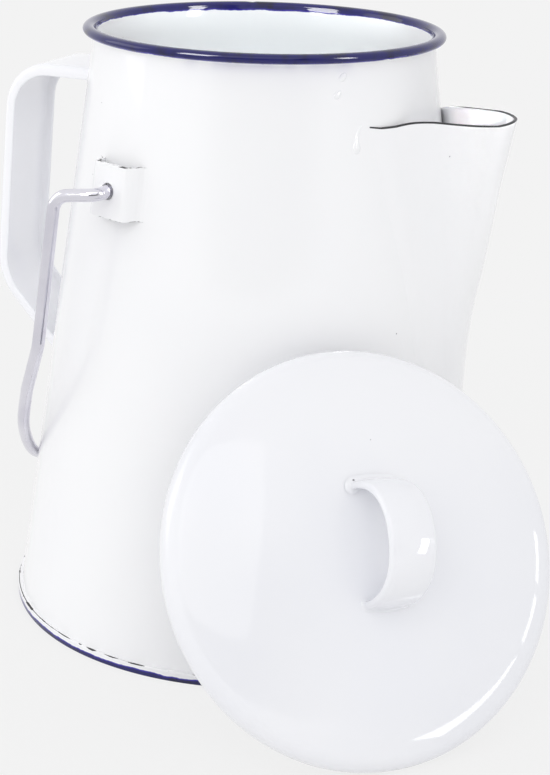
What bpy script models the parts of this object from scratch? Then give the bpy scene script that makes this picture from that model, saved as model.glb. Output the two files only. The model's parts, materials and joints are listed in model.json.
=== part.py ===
"""An enamelled sheet-steel coffee kettle with a back handle, a wire bail and a loose lid.

The pot stands on the plane z = 0 with its axis on Z and its spout towards +X, so the handle is
towards -X. The lid is off the pot: it stands on its edge and leans its collar on the pot's side.
"""
import math

import bmesh
import bpy
import numpy as np
from mathutils import Matrix, Vector

MM = 0.001

# Clearances between pieces
TOUCH_GAP = 0.3 * MM          # between two pieces that are seated on each other
FLOOR_GAP = 0.1 * MM          # under the edge that the lid stands on
CUT_OVERRUN = 6.0 * MM        # how far every cutter reaches past what it cuts

# Pot body: a straight cone of enamelled sheet, rolled outward into a bead at the mouth
POT_HEIGHT = 200.0 * MM       # from the standing plane to the middle of the bead
MOUTH_RADIUS = 56.5 * MM      # outside of the wall at the bead
BASE_RADIUS = 83.3 * MM       # outside of the wall, carried down to the standing plane
SHEET = 1.2 * MM              # enamelled sheet
BEAD_HALF_WIDTH = 2.1 * MM    # the bead is a little flattened
BEAD_HALF_HEIGHT = 1.6 * MM
BEAD_OUT = 1.6 * MM           # from the outside of the wall to the middle of the bead

# Bottom: a flat plate whose edge is folded round the foot of the wall
SEAM_HEIGHT = 3.5 * MM
SEAM_SHEET = 0.9 * MM
SEAM_ROUNDING = 0.5 * MM

# Strainer: holes punched through the wall behind the spout
STRAINER_HOLE_RADIUS = 2.2 * MM
STRAINER_PITCH = 9.5 * MM
STRAINER_BOTTOM = 88.0 * MM
STRAINER_TOP = 164.0 * MM
STRAINER_SIDES = 8

# Spout: one sheet bent to a beak and welded along its edges to the wall
SPOUT_MOUTH_HEIGHT = 178.0 * MM
SPOUT_TOE_HEIGHT = 62.0 * MM
SPOUT_REACH = 27.6 * MM       # how far the lip stands out from the wall
SPOUT_ROOT_HALF_WIDTH = 32.2 * MM
SPOUT_EDGE = 0.35 * MM        # thickness of the sheet where it is feathered on to the wall

# Back handle: a strap rolled to a shallow channel, open towards the pot
HANDLE_WIDTH = 29.5 * MM
HANDLE_FLANGE = 4.0 * MM
HANDLE_EDGE_RADIUS = 2.4 * MM
HANDLE_TOP = 184.0 * MM
HANDLE_TOP_GAP = 31.8 * MM    # from the wall to the upper corner
HANDLE_LOW_GAP = 27.2 * MM    # from the wall to the lower corner
HANDLE_LOW_CORNER = 105.9 * MM
HANDLE_FOOT = 80.0 * MM
HANDLE_TOP_BEND = 17.0 * MM
HANDLE_LOW_BEND = 22.0 * MM

# Ears: two folded straps that carry the bail
EAR_ANGLE = math.radians(67.0)     # round from the handle
EAR_HEIGHT = 17.0 * MM
EAR_FACE_HALF_WIDTH = 8.2 * MM
EAR_ROOT_HALF_WIDTH = 10.2 * MM
EAR_DEPTH = 4.8 * MM          # from the wall to the outside of the ear
EAR_BEND = 2.0 * MM
EAR_HOLE_RADIUS = 2.7 * MM

# Bail: one cranked and arched wire
WIRE_RADIUS = 2.1 * MM
PIVOT_HEIGHT = 155.0 * MM
BAIL_CLEARANCE = 4.0 * MM     # between the wire and the face of an ear, at the pin
PIN_INSIDE = 1.4 * MM         # how far a pin reaches behind the face of its ear
BAIL_CRANK = 15.6 * MM        # from the pivot to the leg
BAIL_CRANK_DROP = 2.0 * MM
BAIL_LEG = 51.5 * MM
BAIL_LEG_SLOPE = math.radians(7.5)
BAIL_ARCH = 71.5 * MM
BAIL_PIN_BEND = 3.4 * MM
BAIL_CRANK_BEND = 6.0 * MM
BAIL_KNEE_BEND = 9.0 * MM

# Lid: a dome with a rounded shoulder, a short turned-down edge and a collar
LID_RADIUS = 64.2 * MM
LID_EDGE = 2.0 * MM           # height of the turned-down edge
LID_SHOULDER = 7.0 * MM
LID_CROWN = 16.5 * MM
COLLAR_PLAY = 0.6 * MM        # between the collar and the inside of the mouth
COLLAR_DEPTH = 15.0 * MM
COLLAR_LEAD = 2.0 * MM        # height of the drawn-in edge of the collar
COLLAR_LEAD_IN = 0.8 * MM

# Knob: a small strap of the handle's section, arched over the middle of the lid
KNOB_SPAN = 41.0 * MM
KNOB_HEIGHT = 23.0 * MM
KNOB_WIDTH = 16.0 * MM
KNOB_FLANGE = 3.4 * MM
KNOB_EDGE_RADIUS = 2.2 * MM
KNOB_TURN = math.radians(3.2)
KNOB_FULLNESS = 2.6           # 2 is an ellipse, and more is squarer

# How the lid leans on the pot
LID_BEARING = math.radians(-49.3)  # direction from the pot's axis to the lid's middle
LID_FACING = math.radians(-43.0)   # direction that the lid's top looks in
LID_LEAN = math.radians(29.2)      # how far its top looks up

# How finely round forms are cut
ROUND_SEGMENTS = 72
SMALL_ROUND_SEGMENTS = 48
ARC_STEPS = 6
SMOOTH_ANGLE = math.radians(40.0)
CONTACT_STEPS = 720
CONTACT_ROUNDS = 60

# Outline of the spout at its mouth and at its toe: each point is (share of the half width,
# share of the reach), from the edge on the wall to the ridge
SPOUT_MOUTH_SHARES = [(1.0, 0.0), (0.85, 0.02), (0.7, 0.05), (0.58, 0.14), (0.515, 0.32),
                      (0.5, 0.53), (0.465, 0.73), (0.36, 0.88), (0.19, 0.97), (0.0, 1.0)]
SPOUT_TOE_SHARES = [(1.0, 0.0), (0.88, 0.05), (0.76, 0.15), (0.64, 0.29), (0.52, 0.45),
                    (0.41, 0.61), (0.3, 0.76), (0.2, 0.88), (0.1, 0.965), (0.0, 1.0)]
# Each level of the spout: (share of its height, share of the half width, share of the reach)
SPOUT_LEVEL_SHARES = [(0.0, 0.10, 0.0), (0.05, 0.30, 0.014), (0.11, 0.46, 0.04),
                      (0.19, 0.58, 0.085), (0.296, 0.685, 0.16), (0.38, 0.715, 0.235),
                      (0.47, 0.74, 0.335), (0.565, 0.775, 0.462), (0.696, 0.85, 0.618),
                      (0.82, 0.925, 0.76), (0.914, 0.965, 0.885), (1.0, 1.0, 1.0)]
# One side of the bail's arch, after its knee: (share of its length, share of its half width)
BAIL_ARCH_SHARES = [(0.3, 0.87), (0.572, 0.69), (0.82, 0.43), (0.955, 0.21), (1.0, 0.0)]


def wall_radius(z):
    """Outside radius of the pot's wall at a height."""
    return BASE_RADIUS + (MOUTH_RADIUS - BASE_RADIUS) * z / POT_HEIGHT


def clear_scene():
    """Remove every object, so the file starts empty."""
    for found in list(bpy.data.objects):
        bpy.data.objects.remove(found, do_unlink=True)


def make_material(name, colour, roughness, metallic):
    """A plain Principled material."""
    material = bpy.data.materials.new(name)
    material.use_nodes = True
    shader = material.node_tree.nodes["Principled BSDF"]
    shader.inputs["Base Color"].default_value = (*colour, 1.0)
    shader.inputs["Roughness"].default_value = roughness
    shader.inputs["Metallic"].default_value = metallic
    return material


def mesh_object(name, mesh_builder, material, parent=None):
    """Turn a finished bmesh into an object, facing out and shaded smooth."""
    bmesh.ops.recalc_face_normals(mesh_builder, faces=mesh_builder.faces[:])
    mesh = bpy.data.meshes.new(name)
    mesh_builder.to_mesh(mesh)
    mesh_builder.free()
    mesh.shade_smooth()
    mesh.set_sharp_from_angle(angle=SMOOTH_ANGLE)
    mesh.materials.append(material)
    made = bpy.data.objects.new(name, mesh)
    made.parent = parent
    bpy.context.scene.collection.objects.link(made)
    return made


def arc(centre, radius, start, end, steps=ARC_STEPS):
    """Points along an arc in a plane, both ends included."""
    angles = np.linspace(start, end, steps + 1)
    return [(centre[0] + radius * math.cos(a), centre[1] + radius * math.sin(a)) for a in angles]


def smooth_through(points, steps):
    """A Catmull-Rom curve through the points, with some steps in each span."""
    p = np.array([points[0]] + list(points) + [points[-1]], float)
    curve = [p[1]]
    for k in range(1, len(p) - 2):
        for t in np.linspace(0.0, 1.0, steps + 1)[1:]:
            a = 2.0 * p[k]
            b = p[k + 1] - p[k - 1]
            c = 2.0 * p[k - 1] - 5.0 * p[k] + 4.0 * p[k + 1] - p[k + 2]
            d = 3.0 * p[k] - p[k - 1] - 3.0 * p[k + 1] + p[k + 2]
            curve.append(0.5 * (a + b * t + c * t ** 2 + d * t ** 3))
    return curve


def bend_corners(points, radii, steps=ARC_STEPS):
    """Replace each inner corner of a line, in a plane or in space, with an arc."""
    p = [np.array(point, float) for point in points]
    line = [p[0]]
    for k in range(1, len(p) - 1):
        back = (p[k - 1] - p[k]) / np.linalg.norm(p[k - 1] - p[k])
        ahead = (p[k + 1] - p[k]) / np.linalg.norm(p[k + 1] - p[k])
        half = 0.5 * math.acos(float(np.clip(back @ ahead, -1.0, 1.0)))
        run = radii[k - 1] / math.tan(half)
        run = min(run, 0.5 * np.linalg.norm(p[k + 1] - p[k]), 0.5 * np.linalg.norm(p[k - 1] - p[k]))
        radius = run * math.tan(half)
        middle = (back + ahead) / np.linalg.norm(back + ahead)
        centre = p[k] + middle * math.hypot(radius, run)
        first = p[k] + back * run - centre
        last = p[k] + ahead * run - centre
        sweep = math.pi - 2.0 * half
        for t in np.linspace(0.0, 1.0, steps + 1):
            weight_first = math.sin((1.0 - t) * sweep) / math.sin(sweep)
            weight_last = math.sin(t * sweep) / math.sin(sweep)
            line.append(centre + first * weight_first + last * weight_last)
    line.append(p[-1])
    return line


def offset_line(points, distance):
    """Move a plane line sideways, to the left of its direction."""
    p = np.array(points, float)
    along = np.gradient(p, axis=0)
    along[0] = p[1] - p[0]
    along[-1] = p[-1] - p[-2]
    along /= np.linalg.norm(along, axis=1)[:, None]
    side = np.stack([-along[:, 1], along[:, 0]], axis=1)
    moved = p.copy()
    for k in range(len(p)):
        if 0 < k < len(p) - 1:
            before = (p[k] - p[k - 1]) / np.linalg.norm(p[k] - p[k - 1])
            after = (p[k + 1] - p[k]) / np.linalg.norm(p[k + 1] - p[k])
            middle = before + after
            middle /= np.linalg.norm(middle)
            side[k] = (-middle[1], middle[0])
            reach = distance / max(float(middle @ before), 0.5)
        else:
            reach = distance
        moved[k] = p[k] + side[k] * reach
    return [tuple(m) for m in moved]


def revolve(name, profile, material, parent=None, segments=ROUND_SEGMENTS):
    """Turn a closed outline of (radius, height) points once round the Z axis."""
    builder = bmesh.new()
    rings = []
    for radius, height in profile:
        if radius == 0:
            rings.append([builder.verts.new((0, 0, height))])
            continue
        turn = np.linspace(0.0, 2.0 * math.pi, segments, endpoint=False)
        rings.append([builder.verts.new((radius * math.cos(a), radius * math.sin(a), height))
                      for a in turn])
    for first, second in zip(rings, rings[1:] + rings[:1]):
        if len(first) == 1 and len(second) == 1:
            continue
        for k in range(segments):
            corners = [first[k % len(first)], first[(k + 1) % len(first)],
                       second[(k + 1) % len(second)], second[k % len(second)]]
            builder.faces.new(list(dict.fromkeys(corners)))
    return mesh_object(name, builder, material, parent)


def skin(name, sections, material, parent=None):
    """Join closed sections of equal point counts, one after the other, and cap both ends."""
    builder = bmesh.new()
    rings = [[builder.verts.new(point) for point in section] for section in sections]
    count = len(rings[0])
    for first, second in zip(rings, rings[1:]):
        for k in range(count):
            n = (k + 1) % count
            builder.faces.new((first[k], first[n], second[n], second[k]))
    for ring in (rings[0], rings[-1]):
        for k in range(count // 2 - 1):
            strip = (ring[k], ring[k + 1], ring[count - 2 - k], ring[count - 1 - k])
            builder.faces.new(strip)
    return mesh_object(name, builder, material, parent)


def cut_with(target, cutter):
    """Cut one object with another, which is only a guide."""
    modifier = target.modifiers.new("cut", "BOOLEAN")
    modifier.operation = "DIFFERENCE"
    modifier.object = cutter
    cutter.hide_render = True
    cutter.display_type = "WIRE"


def make_wall_cutter(material):
    """The whole cone of the pot with the seating gap round it, to trim what is welded on."""
    gap = TOUCH_GAP
    low = -CUT_OVERRUN
    high = POT_HEIGHT + CUT_OVERRUN
    return revolve("wall_cutter", [(0, low), (wall_radius(low) + gap, low),
                                   (wall_radius(high) + gap, high), (0, high)], material)


def make_strainer_cutter(material):
    """Rows of round punches behind the spout, each row shifted by half a pitch."""
    builder = bmesh.new()
    row_step = STRAINER_PITCH * math.sqrt(3.0) / 2.0
    rows = int((STRAINER_TOP - STRAINER_BOTTOM) / row_step) + 1
    for row in range(rows):
        height = STRAINER_BOTTOM + row * row_step
        radius = wall_radius(height) - SHEET / 2.0
        places = (-1, 0, 1) if row % 2 == 0 else (-0.5, 0.5)
        for place in places:
            turn = place * STRAINER_PITCH / radius
            stand = Matrix.Rotation(turn, 4, "Z") @ Matrix.Translation((radius, 0, height))
            lay = Matrix.Rotation(math.pi / 2.0, 4, "Y")
            bmesh.ops.create_cone(builder, cap_ends=True, segments=STRAINER_SIDES,
                                  radius1=STRAINER_HOLE_RADIUS, radius2=STRAINER_HOLE_RADIUS,
                                  depth=CUT_OVERRUN, matrix=stand @ lay)
    return mesh_object("strainer_cutter", builder, material)


def make_pot_body(material):
    """The conical wall with its rolled mouth, punched behind the spout."""
    foot = SHEET + TOUCH_GAP
    neck = POT_HEIGHT - BEAD_HALF_HEIGHT
    crown = POT_HEIGHT - BEAD_HALF_HEIGHT / 2.0
    profile = [(wall_radius(foot), foot), (wall_radius(neck), neck)]
    start = -math.acos(-BEAD_OUT / BEAD_HALF_WIDTH)
    for across, up in arc((0, 0), 1.0, start, math.pi, 2 * ARC_STEPS):
        profile.append((MOUTH_RADIUS + BEAD_OUT + across * BEAD_HALF_WIDTH,
                        POT_HEIGHT + up * BEAD_HALF_HEIGHT))
    profile += [(wall_radius(crown) - SHEET, crown), (wall_radius(foot) - SHEET, foot)]
    body = revolve("pot_body", profile, material)
    cut_with(body, make_strainer_cutter(material))
    return body


def make_bottom_pan(material):
    """The flat bottom, folded up outside and inside the foot of the wall."""
    outer_groove = wall_radius(SHEET) + TOUCH_GAP
    inner_groove = wall_radius(SEAM_HEIGHT) - SHEET - TOUCH_GAP
    outside = outer_groove + SEAM_SHEET
    r = SEAM_ROUNDING
    profile = [(0, 0), (outside - r, 0)]
    profile += arc((outside - r, r), r, -math.pi / 2.0, 0, 3)[1:]
    profile += arc((outside - r, SEAM_HEIGHT - r), r, 0, math.pi / 2.0, 3)
    profile += [(outer_groove, SEAM_HEIGHT), (outer_groove, SHEET), (inner_groove, SHEET),
                (inner_groove, SEAM_HEIGHT), (inner_groove - SHEET, SEAM_HEIGHT),
                (inner_groove - SHEET - r, SHEET), (0, SHEET)]
    return revolve("bottom_pan", profile, material)


def spout_section(height_share, width_share, reach_share):
    """One level of the spout as a closed outline: outside from edge to edge, then inside."""
    height = SPOUT_TOE_HEIGHT + height_share * (SPOUT_MOUTH_HEIGHT - SPOUT_TOE_HEIGHT)
    half_width = width_share * SPOUT_ROOT_HALF_WIDTH
    reach = reach_share * SPOUT_REACH
    seat = wall_radius(height) + TOUCH_GAP
    shares = [((1.0 - height_share) * np.array(toe) + height_share * np.array(mouth))
              for toe, mouth in zip(SPOUT_TOE_SHARES, SPOUT_MOUTH_SHARES)]
    outside = []
    for across, out in smooth_through(shares, 2):
        v = across * half_width
        rise = SPOUT_EDGE + max(float(out), 0.0) * reach
        outside.append((math.sqrt(seat ** 2 - v ** 2) + rise, v))
    inside = []
    ends = [outside[0]] + outside + [(outside[-2][0], -outside[-2][1])]
    for k, (x, v) in enumerate(outside):
        along = np.array(ends[k + 2]) - np.array(ends[k])
        along /= np.linalg.norm(along)
        thick = min(SHEET, x - math.sqrt(seat ** 2 - v ** 2))
        inner_x = x - thick * abs(along[1])
        inner_v = max(v - thick * abs(along[0]), 0.0)
        least = math.sqrt(seat ** 2 - inner_v ** 2)
        inside.append((max(inner_x, least), inner_v))
    half = outside + [(x, -v) for x, v in reversed(outside[:-1])]
    back = inside + [(x, -v) for x, v in reversed(inside[:-1])]
    return [(x, v, height) for x, v in half + back[::-1]]


def make_spout(material):
    """The beak, from its toe low on the wall to its open mouth."""
    return skin("spout", [spout_section(*shares) for shares in SPOUT_LEVEL_SHARES], material)


def channel_section(width, flange, edge_radius):
    """A strap's section as (across, in) points: its back, its rolled edges and its hollow."""
    r = edge_radius
    half = width / 2.0
    outer = [(-half, flange)] + arc((-half + r, r), r, math.pi, 1.5 * math.pi, 3)
    outer += arc((half - r, r), r, 1.5 * math.pi, 2.0 * math.pi, 3) + [(half, flange)]
    s = SHEET
    inner = [(-half + s, flange)] + arc((-half + r, r), r - s, math.pi, 1.5 * math.pi, 3)
    inner += arc((half - r, r), r - s, 1.5 * math.pi, 2.0 * math.pi, 3) + [(half - s, flange)]
    return outer + inner[::-1]


def make_strap(name, path, section, material, parent=None):
    """Sweep a section along a path of (x, z) points, with its hollow to the path's right."""
    p = np.array(path, float)
    sections = []
    for k in range(len(p)):
        ahead = p[min(k + 1, len(p) - 1)] - p[max(k - 1, 0)]
        ahead /= np.linalg.norm(ahead)
        inward = np.array((ahead[1], -ahead[0]))
        spots = []
        for across, depth in section:
            spot = p[k] + inward * depth
            spots.append((spot[0], across, spot[1]))
        sections.append(spots)
    return skin(name, sections, material, parent)


def make_back_handle(material, wall_cutter):
    """The handle's strap, from high on the wall round to its slanted foot."""
    top_reach = wall_radius(HANDLE_TOP) + HANDLE_TOP_GAP
    low_reach = wall_radius(HANDLE_LOW_CORNER) + HANDLE_LOW_GAP
    foot_reach = wall_radius(HANDLE_FOOT)
    slant = (HANDLE_LOW_CORNER - HANDLE_FOOT) / (low_reach - foot_reach)
    corners = [(CUT_OVERRUN - foot_reach, HANDLE_FOOT - slant * CUT_OVERRUN),
               (-low_reach, HANDLE_LOW_CORNER), (-top_reach, HANDLE_TOP),
               (CUT_OVERRUN - wall_radius(HANDLE_TOP), HANDLE_TOP)]
    path = bend_corners(corners, [HANDLE_LOW_BEND, HANDLE_TOP_BEND])
    section = channel_section(HANDLE_WIDTH, HANDLE_FLANGE, HANDLE_EDGE_RADIUS)
    handle = make_strap("back_handle", path, section, material)
    cut_with(handle, wall_cutter)
    return handle


def ear_frame(side):
    """Outward and sideways directions of an ear; side is +1 for +Y and -1 for -Y."""
    outward = np.array((-math.cos(EAR_ANGLE), side * math.sin(EAR_ANGLE)))
    sideways = np.array((-outward[1], outward[0]))
    return outward, sideways


def pivot_point():
    """Where the bail's axis crosses the outside of the ear on the +Y side."""
    outward, _ = ear_frame(1)
    return outward * (wall_radius(PIVOT_HEIGHT) + EAR_DEPTH)


def make_ear(name, side, material, wall_cutter):
    """One ear: a strap folded to a bridge that follows the slope of the wall."""
    outward, sideways = ear_frame(side)
    corners = [(-EAR_ROOT_HALF_WIDTH, -EAR_DEPTH / 2.0), (-EAR_FACE_HALF_WIDTH, EAR_DEPTH),
               (EAR_FACE_HALF_WIDTH, EAR_DEPTH), (EAR_ROOT_HALF_WIDTH, -EAR_DEPTH / 2.0)]
    outer = [tuple(point) for point in bend_corners(corners, [EAR_BEND, EAR_BEND], 3)]
    inner = offset_line(outer, -SHEET)
    outline = outer + inner[::-1]
    sections = []
    for height in (PIVOT_HEIGHT - EAR_HEIGHT / 2.0, PIVOT_HEIGHT + EAR_HEIGHT / 2.0):
        spots = []
        for across, out in outline:
            spot = outward * (wall_radius(height) + out) + sideways * across
            spots.append((spot[0], spot[1], height))
        sections.append(spots)
    ear = skin(name, sections, material)
    cut_with(ear, wall_cutter)
    builder = bmesh.new()
    where = pivot_point()
    stand = Matrix.Translation((where[0], side * where[1], PIVOT_HEIGHT))
    lay = Matrix.Rotation(math.pi / 2.0, 4, "X")
    bmesh.ops.create_cone(builder, cap_ends=True, segments=2 * STRAINER_SIDES,
                          radius1=EAR_HOLE_RADIUS, radius2=EAR_HOLE_RADIUS,
                          depth=2.0 * CUT_OVERRUN, matrix=stand @ lay)
    cut_with(ear, mesh_object(name + "_hole_cutter", builder, material))
    return ear


def arch_slope(knee_reach, knee_height):
    """Slope at which the arch, hanging from the bail's knees, seats on the back of the wall."""
    taper = math.atan((BASE_RADIUS - MOUTH_RADIUS) / POT_HEIGHT)
    seat = (WIRE_RADIUS + TOUCH_GAP) / math.cos(taper)
    short = wall_radius(knee_height) + seat - knee_reach
    return taper + math.asin(short * math.cos(taper) / BAIL_ARCH)


def bail_path():
    """The wire's middle line, measured from the pivot, from one pin to the other."""
    pivot_x, face = pivot_point()
    half = face + BAIL_CLEARANCE + WIRE_RADIUS
    pin_end = face - SHEET - PIN_INSIDE
    crank = np.array((-BAIL_CRANK, -BAIL_CRANK_DROP))
    leg_way = np.array((-math.sin(BAIL_LEG_SLOPE), -math.cos(BAIL_LEG_SLOPE)))
    knee = crank + leg_way * BAIL_LEG
    slope = arch_slope(-pivot_x - knee[0], PIVOT_HEIGHT + knee[1])
    arch_way = np.array((-math.sin(slope), -math.cos(slope)))
    arch = []
    for along, across in BAIL_ARCH_SHARES:
        x, z = knee + arch_way * along * BAIL_ARCH
        arch.append((x, across * half, z))
    arch += [(x, -y, z) for x, y, z in reversed(arch[:-1])]
    side = [(0, pin_end, 0), (0, half, 0), (crank[0], half, crank[1]), (knee[0], half, knee[1])]
    bends = [BAIL_PIN_BEND, BAIL_CRANK_BEND, BAIL_KNEE_BEND]
    first = bend_corners(side + arch[:1], bends, 5)
    last = [point * np.array((1, -1, 1)) for point in reversed(first)]
    return first[:-1] + smooth_through(arch, 3) + last[1:]


def make_bail(material):
    """The bail as a curve with the wire's thickness, its origin on its pivot."""
    curve = bpy.data.curves.new("bail", "CURVE")
    curve.dimensions = "3D"
    curve.bevel_depth = WIRE_RADIUS
    curve.bevel_resolution = 2
    curve.use_fill_caps = True
    points = bail_path()
    spline = curve.splines.new("POLY")
    spline.points.add(len(points) - 1)
    for spot, point in zip(spline.points, points):
        spot.co = (*point, 1.0)
    curve.materials.append(material)
    bail = bpy.data.objects.new("bail", curve)
    bail.location = (pivot_point()[0], 0, PIVOT_HEIGHT)
    bpy.context.scene.collection.objects.link(bail)
    return bail


def lid_dome():
    """Radius of the dome's sphere and the angle at which it meets the shoulder."""
    inset = LID_RADIUS - LID_SHOULDER
    sphere = (inset ** 2 + LID_CROWN ** 2 - LID_SHOULDER ** 2) / (2.0 * (LID_CROWN - LID_SHOULDER))
    return sphere, math.asin(inset / (sphere - LID_SHOULDER))


def dome_height(radius, thickness=0.0):
    """Height of the dome at a radius, measured under a thickness of sheet."""
    sphere, _ = lid_dome()
    return LID_CROWN - sphere + math.sqrt((sphere - thickness) ** 2 - radius ** 2)


def lid_outline(thickness):
    """The lid's outside, or its inside under a thickness, from its edge to its middle."""
    sphere, meet = lid_dome()
    shoulder = (LID_RADIUS - LID_SHOULDER, 0)
    points = [(LID_RADIUS - thickness, -LID_EDGE)]
    points += arc(shoulder, LID_SHOULDER - thickness, 0, math.pi / 2.0 - meet)
    dome = arc((0, LID_CROWN - sphere), sphere - thickness, math.pi / 2.0 - meet, math.pi / 2.0)
    return points + dome[1:-1] + [(0, LID_CROWN - thickness)]


def collar_radius():
    """Outside of the collar, which drops into the mouth."""
    return MOUTH_RADIUS - SHEET - COLLAR_PLAY


def lid_directions():
    """The lid's own right, up and outward directions where it leans."""
    facing = np.array((math.cos(LID_FACING), math.sin(LID_FACING), 0))
    out = facing * math.cos(LID_LEAN) + np.array((0, 0, math.sin(LID_LEAN)))
    right = np.cross((0, 0, 1), facing)
    return right, np.cross(out, right), out


def lid_middle():
    """Move the lid towards the pot until its collar or its edge meets the wall."""
    right, up, out = lid_directions()
    height = FLOOR_GAP + LID_RADIUS * up[2] + LID_EDGE * out[2]
    bearing = np.array((math.cos(LID_BEARING), math.sin(LID_BEARING), 0))
    turn = np.linspace(0.0, 2.0 * math.pi, CONTACT_STEPS, endpoint=False)
    wheel = np.outer(np.cos(turn), right) + np.outer(np.sin(turn), up)
    rims = np.concatenate([collar_radius() * wheel - COLLAR_DEPTH * out,
                           LID_RADIUS * wheel - LID_EDGE * out])
    near = 0.0
    far = 2.0 * (BASE_RADIUS + LID_RADIUS)
    for _ in range(CONTACT_ROUNDS):
        middle = 0.5 * (near + far)
        spots = rims + bearing * middle + np.array((0, 0, height))
        gap = np.hypot(spots[:, 0], spots[:, 1]) - wall_radius(spots[:, 2])
        if gap.min() < TOUCH_GAP:
            near = middle
        else:
            far = middle
    return Vector(bearing * far) + Vector((0, 0, height))


def make_lid_stand():
    """An empty in the middle of the lid's edge, looking the way the lid looks."""
    right, up, out = lid_directions()
    stand = bpy.data.objects.new("lid_stand", None)
    turn = Matrix((right, up, out)).transposed().to_4x4()
    stand.matrix_world = Matrix.Translation(lid_middle()) @ turn
    bpy.context.scene.collection.objects.link(stand)
    return stand


def make_lid_shell(material, stand):
    """The dome, its shoulder and its turned-down edge, hollow underneath."""
    profile = lid_outline(0.0) + lid_outline(SHEET)[::-1]
    return revolve("lid_shell", profile, material, stand)


def make_lid_collar(material, stand):
    """The ring under the dome that drops into the mouth, drawn in at its lower edge."""
    outside = collar_radius()
    inside = outside - SHEET
    outer_top = dome_height(outside, SHEET) - TOUCH_GAP
    inner_top = dome_height(inside, SHEET) - TOUCH_GAP
    profile = [(outside, outer_top), (inside, inner_top), (inside, COLLAR_LEAD - COLLAR_DEPTH),
               (inside - COLLAR_LEAD_IN, -COLLAR_DEPTH), (outside - COLLAR_LEAD_IN, -COLLAR_DEPTH),
               (outside, COLLAR_LEAD - COLLAR_DEPTH)]
    return revolve("lid_collar", profile, material, stand)


def make_lid_knob(material, stand):
    """The knob: an arch of channel strap whose feet are trimmed to the dome."""
    foot = dome_height(KNOB_SPAN / 2.0) - CUT_OVERRUN
    spring = dome_height(KNOB_SPAN / 2.0)
    rise = LID_CROWN + KNOB_HEIGHT - spring
    path = [(-KNOB_SPAN / 2.0, foot)]
    for across, up in arc((0, 0), 1.0, math.pi, 0.0, 3 * ARC_STEPS):
        full = abs(across) ** (2.0 / KNOB_FULLNESS)
        path.append((math.copysign(full, across) * KNOB_SPAN / 2.0,
                     spring + rise * max(up, 0.0) ** (2.0 / KNOB_FULLNESS)))
    path.append((KNOB_SPAN / 2.0, foot))
    section = channel_section(KNOB_WIDTH, KNOB_FLANGE, KNOB_EDGE_RADIUS)
    knob = make_strap("lid_knob", path, section, material, stand)
    knob.rotation_euler = (0, 0, math.pi / 2.0 + KNOB_TURN)
    sphere, _ = lid_dome()
    swollen = sphere + TOUCH_GAP
    reach = math.asin(KNOB_SPAN / swollen)
    cap = arc((0, LID_CROWN - sphere), swollen, math.pi / 2.0 - reach, math.pi / 2.0)
    low = foot - CUT_OVERRUN
    profile = [(0, low), (KNOB_SPAN, low)] + cap[:-1] + [(0, LID_CROWN + TOUCH_GAP)]
    cutter = revolve("dome_cutter", profile, material, stand, SMALL_ROUND_SEGMENTS)
    cut_with(knob, cutter)
    return knob


def main():
    """Build every piece of the kettle."""
    clear_scene()
    enamel = make_material("white_enamel", (0.86, 0.86, 0.88), 0.12, 0.0)
    wire = make_material("plated_wire", (0.62, 0.61, 0.65), 0.2, 1.0)
    wall_cutter = make_wall_cutter(enamel)
    make_pot_body(enamel)
    make_bottom_pan(enamel)
    make_spout(enamel)
    make_back_handle(enamel, wall_cutter)
    make_ear("bail_ear_left", 1, enamel, wall_cutter)
    make_ear("bail_ear_right", -1, enamel, wall_cutter)
    make_bail(wire)
    stand = make_lid_stand()
    make_lid_shell(enamel, stand)
    make_lid_collar(enamel, stand)
    make_lid_knob(enamel, stand)


main()
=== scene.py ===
# %% [markdown]
# # A white enamel coffee kettle
#
# The real object is thin steel sheet, welded together and then dipped in glass enamel. The packed
# model already holds every piece at its true size. This lesson gives each piece its fine surface:
# melted fillets where sheet meets sheet, a cobalt edge, chipped rims and a plated wire.
#
# The frame is loaded first, because every piece below is measured against it.

# %% Load the frame
import json
import math

import bmesh
import bpy
import numpy as np
from mathutils import Matrix, Quaternion, Vector


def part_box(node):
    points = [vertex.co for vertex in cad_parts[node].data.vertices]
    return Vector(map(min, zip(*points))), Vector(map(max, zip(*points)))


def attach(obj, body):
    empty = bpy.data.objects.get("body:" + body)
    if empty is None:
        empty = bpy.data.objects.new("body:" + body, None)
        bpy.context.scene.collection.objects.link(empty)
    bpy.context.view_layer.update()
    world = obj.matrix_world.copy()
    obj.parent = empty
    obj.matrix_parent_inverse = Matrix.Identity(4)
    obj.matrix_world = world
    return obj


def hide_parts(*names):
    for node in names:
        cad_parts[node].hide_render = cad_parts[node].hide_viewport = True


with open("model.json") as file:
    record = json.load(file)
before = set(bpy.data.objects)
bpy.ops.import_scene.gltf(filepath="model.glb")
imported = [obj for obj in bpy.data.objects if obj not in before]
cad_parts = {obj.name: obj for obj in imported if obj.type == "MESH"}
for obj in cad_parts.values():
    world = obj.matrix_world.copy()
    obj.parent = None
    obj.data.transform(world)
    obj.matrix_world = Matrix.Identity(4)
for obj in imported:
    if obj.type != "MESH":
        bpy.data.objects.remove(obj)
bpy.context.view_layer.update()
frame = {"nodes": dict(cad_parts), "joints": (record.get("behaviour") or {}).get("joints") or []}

MM = 0.001

# %% [markdown]
# ## Sizes
#
# The pot is a cone, so two radii and a height give its wall. The values are the maker's own
# sizes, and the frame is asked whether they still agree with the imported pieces.

# %% Sizes of the pot
POT_HEIGHT = 200.0 * MM
MOUTH_RADIUS = 56.5 * MM
BASE_RADIUS = 83.3 * MM
SHEET = 1.2 * MM
SEATING_GAP = 0.3 * MM
BEAD_HALF_WIDTH = 2.1 * MM
BEAD_HALF_HEIGHT = 1.6 * MM
BEAD_MIDDLE = MOUTH_RADIUS + 1.6 * MM
TAPER = math.atan((BASE_RADIUS - MOUTH_RADIUS) / POT_HEIGHT)

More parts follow.
